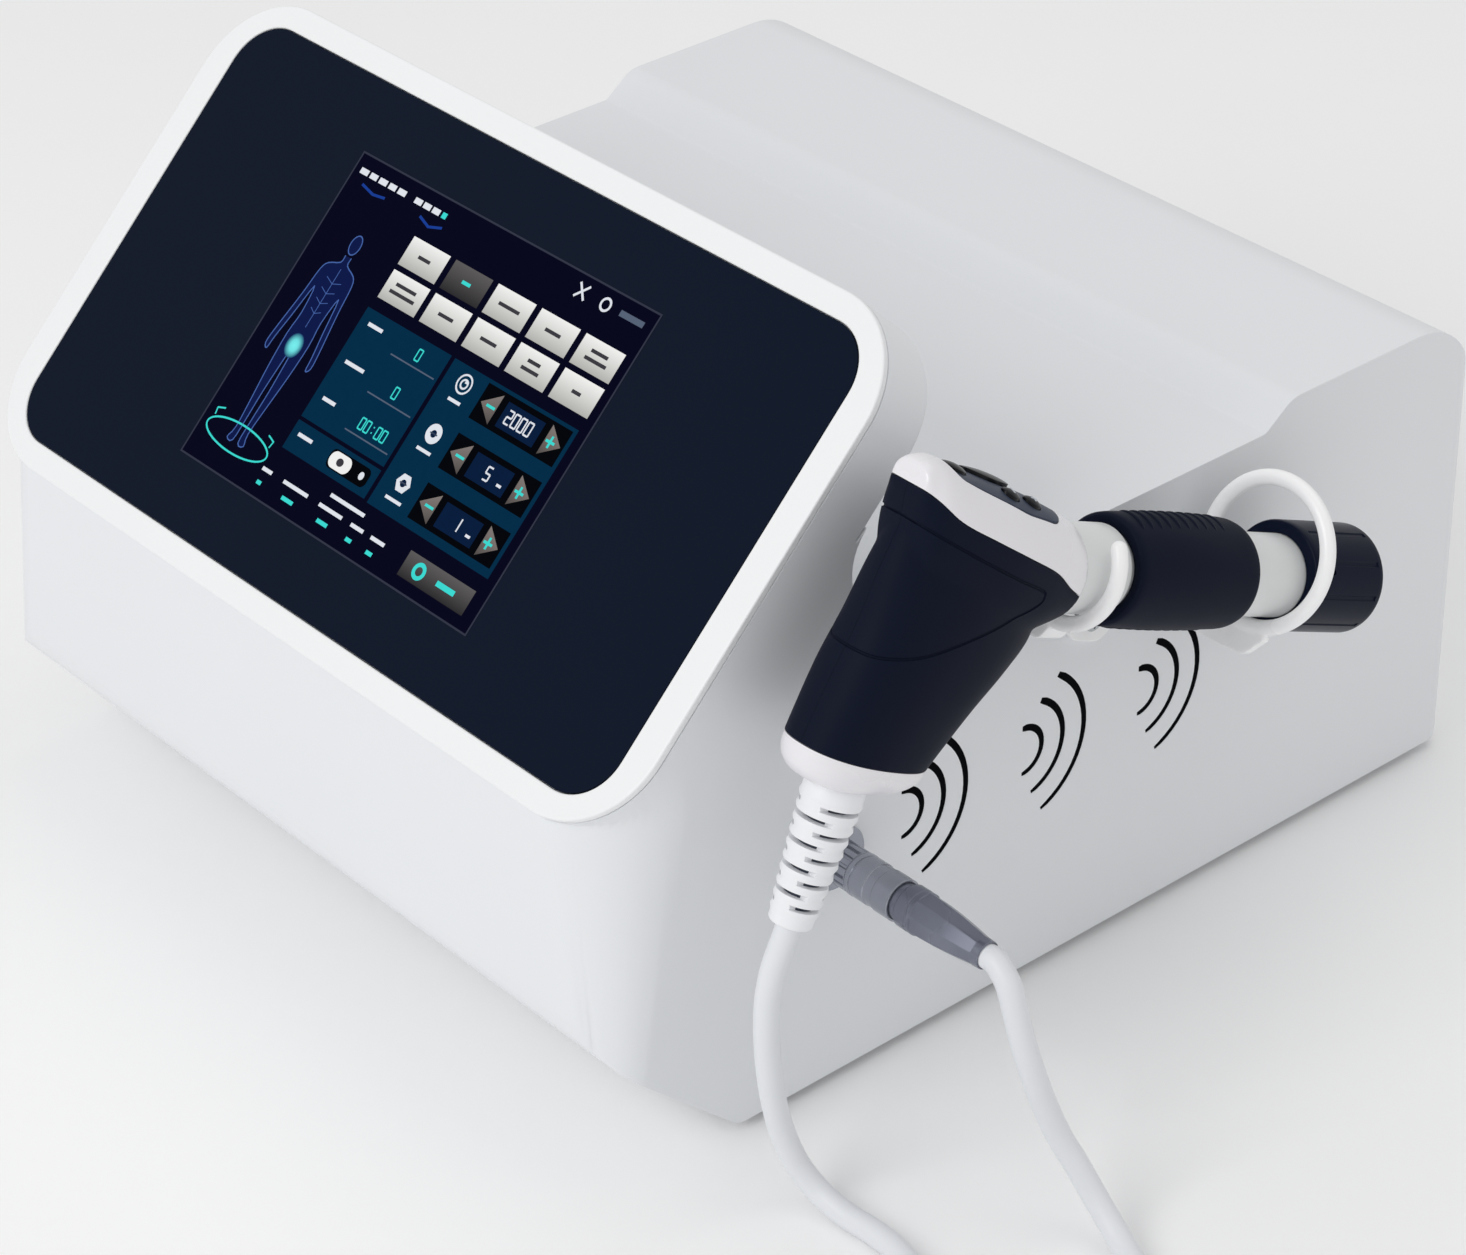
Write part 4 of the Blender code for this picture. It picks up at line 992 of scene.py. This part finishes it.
def buttons():
    """The pad with a rounded rim, and four crowned buttons in its wells."""
    pad = dome("pad", pad_outline(), -0.0032, 0.0002, 0.0008, PAD, 10)
    for name, body, length, width, centre, height in BUTTONS:
        boolean(pad, prism("well", ellipse(width + 2 * GAP, length + 2 * GAP, centre), -0.002, 0.004, PAD))
    shown(pad, "slate", "handpiece", "button_pad")
    for name, body, length, width, centre, height in BUTTONS:
        top = 0.0008 + height
        button = dome(name.replace("button", "key"), ellipse(width, length, centre), -0.0003, top - 0.0009,
                      top, PAD)
        shown(button, "key", body, name, sharp=60)
    for body, centre, arms in (("minus_key", BUTTONS[2][4], 1), ("plus_key", BUTTONS[3][4], 2)):
        for k in range(arms):
            mark = box(f"{body}_mark_{k}", (0.0026, 0.0006, 0.0003),
                       PAD @ at(centre[0], centre[1], 0.0022 - CROWN * centre[0] ** 2)
                       @ turn(math.degrees(2 * CROWN * centre[0]), "Y") @ turn(90 * k, "Z"))
            shown(mark, "mark", body)


def strain_relief():
    """Tapered boot with slots on alternate sides down to the cord, and a dark grey core inside it as painted
    shade at the slots' bottoms.
    """
    s, top, bottom = RELIEF
    length = top - bottom
    bore = CORD_RADIUS + 0.0004
    profile = [(bore, 0), (0.0092, 0), (0.0101, -0.0015), (0.0102, -0.005)]
    profile += [(0.0102 - 0.0025 * k / 18 + 0.00035 * cos(pi * k), -0.0063 - 0.00215 * k) for k in range(19)]
    profile += [(0.0074, -0.0465), (0.0074, -length + 0.0008), (0.0068, -length), (bore, -length)]
    boot = turned("relief_boot", profile, BARREL @ at(0, s, top - GAP), 64, True)
    for row in range(RELIEF_SLOTS):
        depth = -0.00845 - row * 0.0043
        radius = 0.0102 - 0.0025 * row / RELIEF_SLOTS
        for side in (0, 180):
            place = BARREL @ at(0, s, top + depth) @ turn(90 * (row % 2) + side, "Z")
            boolean(boot, box("slot", (0.012, 2 * radius - 0.0012, 0.0018),
                              place @ at(radius * 0.45 + 0.006, 0, 0)))
    shown(boot, "boot", "handpiece", "strain_relief", sharp=40)
    # a dark grey core inside the boot: painted shade, so the bottoms of the slots read dark
    core = [(bore, -0.005), (0.0068, -0.005), (0.0051, -0.047), (bore, -0.047)]
    shown(turned("relief_shade_core", core, BARREL @ at(0, s, top - GAP), 48, True), "shadow", "handpiece")


def barrel():
    """Neck and tube, ribbed rubber sleeve, grooved end cap and the transmitter at its mouth."""
    tube_end = 0.132
    place = BARREL @ TURN_TO_S
    core = [(TUBE_RADIUS, tube_end), (TUBE_RADIUS, SLEEVE[1] + 0.001), (0.0132, SLEEVE[1]),
            (0.0132, SLEEVE[0] + 0.001), (NECK_RADIUS - 0.0005, SLEEVE[0] - GAP),
            (NECK_RADIUS, SLEEVE[0] - 0.0008), (NECK_RADIUS, 0.0016), (NECK_RADIUS - 0.0006, 0.0008),
            (NECK_RADIUS - 0.0006, GAP), (0.0095, GAP), (0.0095, tube_end)]
    shown(turned("neck_and_tube", core, place, closed=True), "satin", "handpiece", "barrel_tube")

    a, b = SLEEVE[0] + 0.0002, SLEEVE[1] - GAP
    sleeve = [(0.0136, b), (0.0174, b), (0.0182, b - 0.0006), (0.0186, b - 0.002)]
    sleeve += [(0.0188 + 0.0006 * sin(pi * k / 16), b - 0.004 - (b - a - 0.008) * k / 16) for k in range(17)]
    sleeve += [(0.0186, a + 0.002), (0.0181, a + 0.001), (0.0174, a + 0.0006), (0.0155, a + 0.001),
               (0.0136, a + 0.002)]
    shown(turned("sleeve", sleeve, place, closed=True), "navy", "handpiece", "barrel_sleeve")
    for side, middle_angle in (("top", 90), ("bottom", -90)):
        for k in range(SLEEVE_RIBS):
            start = a + 0.0085 + 0.0047 * k
            ridge = []
            for step in range(13):
                share = step / 6 - 1
                angle = radians(middle_angle + 24 * share)
                radius = 0.0187 + 0.00045 * sin(pi * (k + 0.5) / SLEEVE_RIBS) - 0.0006 * share ** 4
                ridge.append((radius * cos(angle), start + 0.0022 * share, radius * sin(angle)))
            shown(tube(f"sleeve_rib_{side}_{k}", ridge, 0.0008, BARREL, 10), "navy", "handpiece")

    def grooves(angle, radius, z):
        """Ten narrow grooves along the outside of the end cap."""
        near = abs((math.degrees(angle) + 18) % 36 - 18)
        outside = radius > END_CAP_RADIUS - 0.0002 and END_CAP[0] + 0.004 < z < END_CAP[1] - 0.003
        return radius - 0.0004 if outside and near < 1.6 else radius

    a, b = END_CAP
    r = END_CAP_RADIUS
    cap = [(r - 0.004, b), (r - 0.001, b), (r - 0.0003, b - 0.0004), (r, b - 0.0012), (r, b - 0.0029),
           (r, b - 0.0031), (r, a + 0.0041), (r, a + 0.0039), (r, a + 0.0012), (r - 0.0004, a + 0.0003),
           (r - 0.001, a), (TUBE_RADIUS + GAP, a), (TUBE_RADIUS + GAP, tube_end + GAP),
           (0.0085, tube_end + GAP), (0.0085, b - 0.003), (r - 0.004, b - 0.003)]
    end = turned("end_shell", cap, place, 240, True, grooves)
    boolean(end, turned("key_hole", [(0, 0.024), (0.0009, 0.024), (0.0009, 0.0178), (0, 0.0178)],
                        BARREL @ at(0, a + 0.01, 0) @ turn(64, "Y"), 16))
    shown(end, "end_cap", "handpiece", "end_cap")
    tip = [(0, b + 0.004), (0.003, b + 0.0039), (0.006, b + 0.0034), (0.0072, b + 0.0026),
           (0.0078, b + 0.0013), (0.0078, b - 0.025), (0.005, b - 0.027), (0, b - 0.027)]
    shown(turned("transmitter_tip", tip, place, 64), "steel", "handpiece", "transmitter")


# ---- Holder

def screw(name, node, place, radius=0.0036):
    """Pan-head screw with a cross recess."""
    head = turned(name, [(0, 0.0015), (radius * 0.5, 0.0014), (radius * 0.85, 0.0009), (radius, 0.0003),
                         (radius, 0), (0, 0)], place, 40)
    for angle in (0, 90):
        boolean(head, box("recess", (radius * 1.15, 0.0007, 0.0016),
                          place @ at(0, 0, 0.0013) @ turn(angle, "Z")))
    shown(head, "steel", "console", *([node] if node else []))


def holder():
    """Wall plate with its screws, and the ring and hook that carry the handpiece."""
    wall = -BARREL_REACH + GAP
    plate = rounded([(0.004, -0.029, 0.003), (0.06, -0.029, 0.003), (0.066, -0.0395, 0.0065),
                     (0.0815, -0.0395, 0.0065), (0.088, -0.029, 0.003), (0.1215, -0.029, 0.003),
                     (0.1215, -0.006, 0.006), (0.004, -0.006, 0.006)], 8)
    shown(bevel(prism("wall_plate", plate, wall, wall + 0.003, BARREL @ ALONG_X), 0.0006), "holder",
          "console", "holder_plate")
    for name, s, t in (("lower", 0.074, -0.032), ("front", 0.028, -0.015), ("rear", 0.095, -0.015)):
        screw(f"screw_{name}", f"holder_screw_{name}", BARREL @ at(wall + 0.003 + GAP, s, t) @ TURN_TO_X)

    foot = wall + 0.003 + GAP
    lift = RING_RADIUS - ROD_RADIUS - TUBE_RADIUS - GAP
    rod = [(RING_RADIUS + ROD_RADIUS * cos(a), -ROD_RADIUS * sin(a))
           for a in (2 * pi * k / 24 for k in range(24))]
    ring = turned("ring", rod, BARREL @ at(0, RING_S, lift) @ TURN_TO_S, 120, True)
    web = prism("ring_web", rounded([(foot, -0.0285, 0.001), (0.006, -0.027, 0.004), (0.013, -0.018, 0.001),
                                     (0.0, -0.0178, 0.0), (-0.018, -0.0105, 0.0), (foot, -0.012, 0.001)], 6),
                -0.002, 0.002, BARREL @ at(0, RING_S, 0) @ ALONG_S)
    shown(merged(ring, [web], 0.0005, 4), "holder", "console", "holder_ring", sharp=60)

    drop = HOOK_RADIUS - ROD_RADIUS - NECK_RADIUS - GAP
    arc = [Vector((HOOK_RADIUS * cos(a), HOOK_S, drop + HOOK_RADIUS * sin(a)))
           for a in (radians(-90 + HOOK_SWEEP * k / 40) for k in range(41))]
    low = arc[0].z
    arm = [Vector((foot + 0.001, HOOK_S, low)), Vector((-0.01, HOOK_S, low))]
    hook = tube("hook", arm + arc, ROD_RADIUS, BARREL)
    tip = turned("hook_tip", [(ROD_RADIUS * sin(a), ROD_RADIUS * cos(a))
                              for a in (pi * k / 12 for k in range(13))], BARREL @ at(*arc[-1]), 24)
    hook_web = prism("hook_web", rounded([(foot, low - 0.008, 0.001), (-0.002, low - 0.008, 0.003),
                                          (0.002, low - 0.0005, 0.0), (foot, low, 0.0)], 6), -0.006, 0.006,
                     BARREL @ at(0, HOOK_S + 0.004, 0) @ ALONG_S)
    shown(merged(hook, [tip, hook_web], 0.0005, 4), "holder", "console", "holder_hook", sharp=60)


# ---- Plug and socket

def plug():
    """Push-pull plug: grooved lock sleeve, ring and a tapered back with flats; and its socket."""
    place = CONSOLE @ at(*SOCKET) @ TURN_TO_X

    def flats(angle, radius, z):
        """Eight long flats on the tapered back end."""
        if not 0.044 < z < 0.0705:
            return radius
        within = (angle + pi / 8) % (pi / 4) - pi / 8
        return min(radius, radius * 0.93 / cos(within))

    def knurls(angle, radius, z):
        """Fine lengthwise grooves on the front half of the sleeve."""
        return radius - 0.0009 * (cos(14 * angle) > 0.4) * (0.0033 < z < 0.0127) * (radius > 0.007)

    back = [(0.0045, 0.0735), (0.0047, 0.0737), (0.005, 0.0733), (0.0052, 0.0706), (0.0053, 0.0704)]
    back += [(0.0053 + 0.0024 * sin(pi / 2 * k / 10), 0.0704 - 0.0263 * k / 10) for k in range(11)]
    back += [(0.0077, 0.0438), (0.0077, 0.0425), (0.0074, 0.0422), (0.0074, 0.0416), (0.0077, 0.0413),
             (0.0077, 0.0372), (0.0075, 0.0369), (0.0066, 0.0367), (0.0066, 0.0334), (0.0056, 0.0332),
             (0.0056, 0.0028), (0.0052, 0.0022), (0.0052, -0.009), (0.001, -0.009), (0.001, 0.06),
             (0.0045, 0.06)]
    shown(turned("plug_shell", back, place, 160, True, flats), "plug_back", "console", "plug_body", sharp=20)
    sleeve = [(0.0069, 0.0338), (0.0074, 0.0338), (0.0077, 0.0335), (0.0077, 0.0262), (0.0074, 0.0258),
              (0.0074, 0.0222), (0.0077, 0.0218), (0.0077, 0.016), (0.0074, 0.0157), (0.0074, 0.0152),
              (0.0078, 0.015), (0.0078, 0.0138), (0.0073, 0.0136), (0.0073, 0.013), (0.0076, 0.0128),
              (0.0076, 0.0126), (0.0076, 0.0034), (0.0076, 0.0032), (0.0074, 0.003), (0.0059, 0.003),
              (0.0059, 0.0305), (0.0069, 0.0305)]
    shown(turned("plug_lock", sleeve, place, 160, True, knurls), "plug", "lock_sleeve", "plug_sleeve",
          sharp=20)
    socket = [(0.0116, 0.0022), (0.012, 0.0018), (0.012, GAP), (0.0084, GAP), (0.0084, -0.012),
              (0.0056, -0.012), (0.0056, 0.0022)]
    shown(turned("wall_socket", socket, place, 64, True), "plug", "console", "side_socket")


# ---- Rear and the kept CAD nodes

def rear_details():
    """Pins of the mains inlet, and screws of the rear panel."""
    for name, x, z in (("line", -0.0045, -0.0018), ("neutral", 0.0045, -0.0018), ("earth", 0.0, 0.0028)):
        pin = bevel(box(f"inlet_pin_{name}", (0.0018, 0.012, 0.004),
                        CONSOLE @ at(-0.1 + x, 0.1915, 0.052 + z)), 0.0004, 2)
        shown(pin, "brass", "console")
    for i in (-1, 1):
        for j in (-1, 1):
            name = f"{'right' if i > 0 else 'left'}_{'upper' if j > 0 else 'lower'}"
            screw(f"rear_screw_{name}", None, CONSOLE @ at(i * 0.143, 0.197, 0.075 + j * 0.048) @ TURN_TO_S,
                  0.003)


KEPT = {"casing": ("base_plate", "rear_panel"),
        "rubber": ("foot_left_front", "foot_left_rear", "foot_right_front", "foot_right_rear", "power_switch"),
        "black": ("display_module", "capacitor_left", "capacitor_right", "fan_frame", "fan_rotor", "speaker",
                  "inlet_socket", "switch_frame", "fuse_holder"),
        "board": ("main_board", "driver_board"),
        "steel": ("power_supply", "guide_tube", "projectile"),
        "copper": ("drive_coil",)}


def kept_nodes():
    """New materials for the CAD nodes that stay as they are."""
    for paint, names in KEPT.items():
        for name in names:
            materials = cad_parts[name].data.materials
            materials.clear()
            materials.append(PAINT[paint])


camera()
studio()
plug()
cord()
casing()
screen_front()
display()
grip()
buttons()
strain_relief()
barrel()
holder()
rear_details()
kept_nodes()
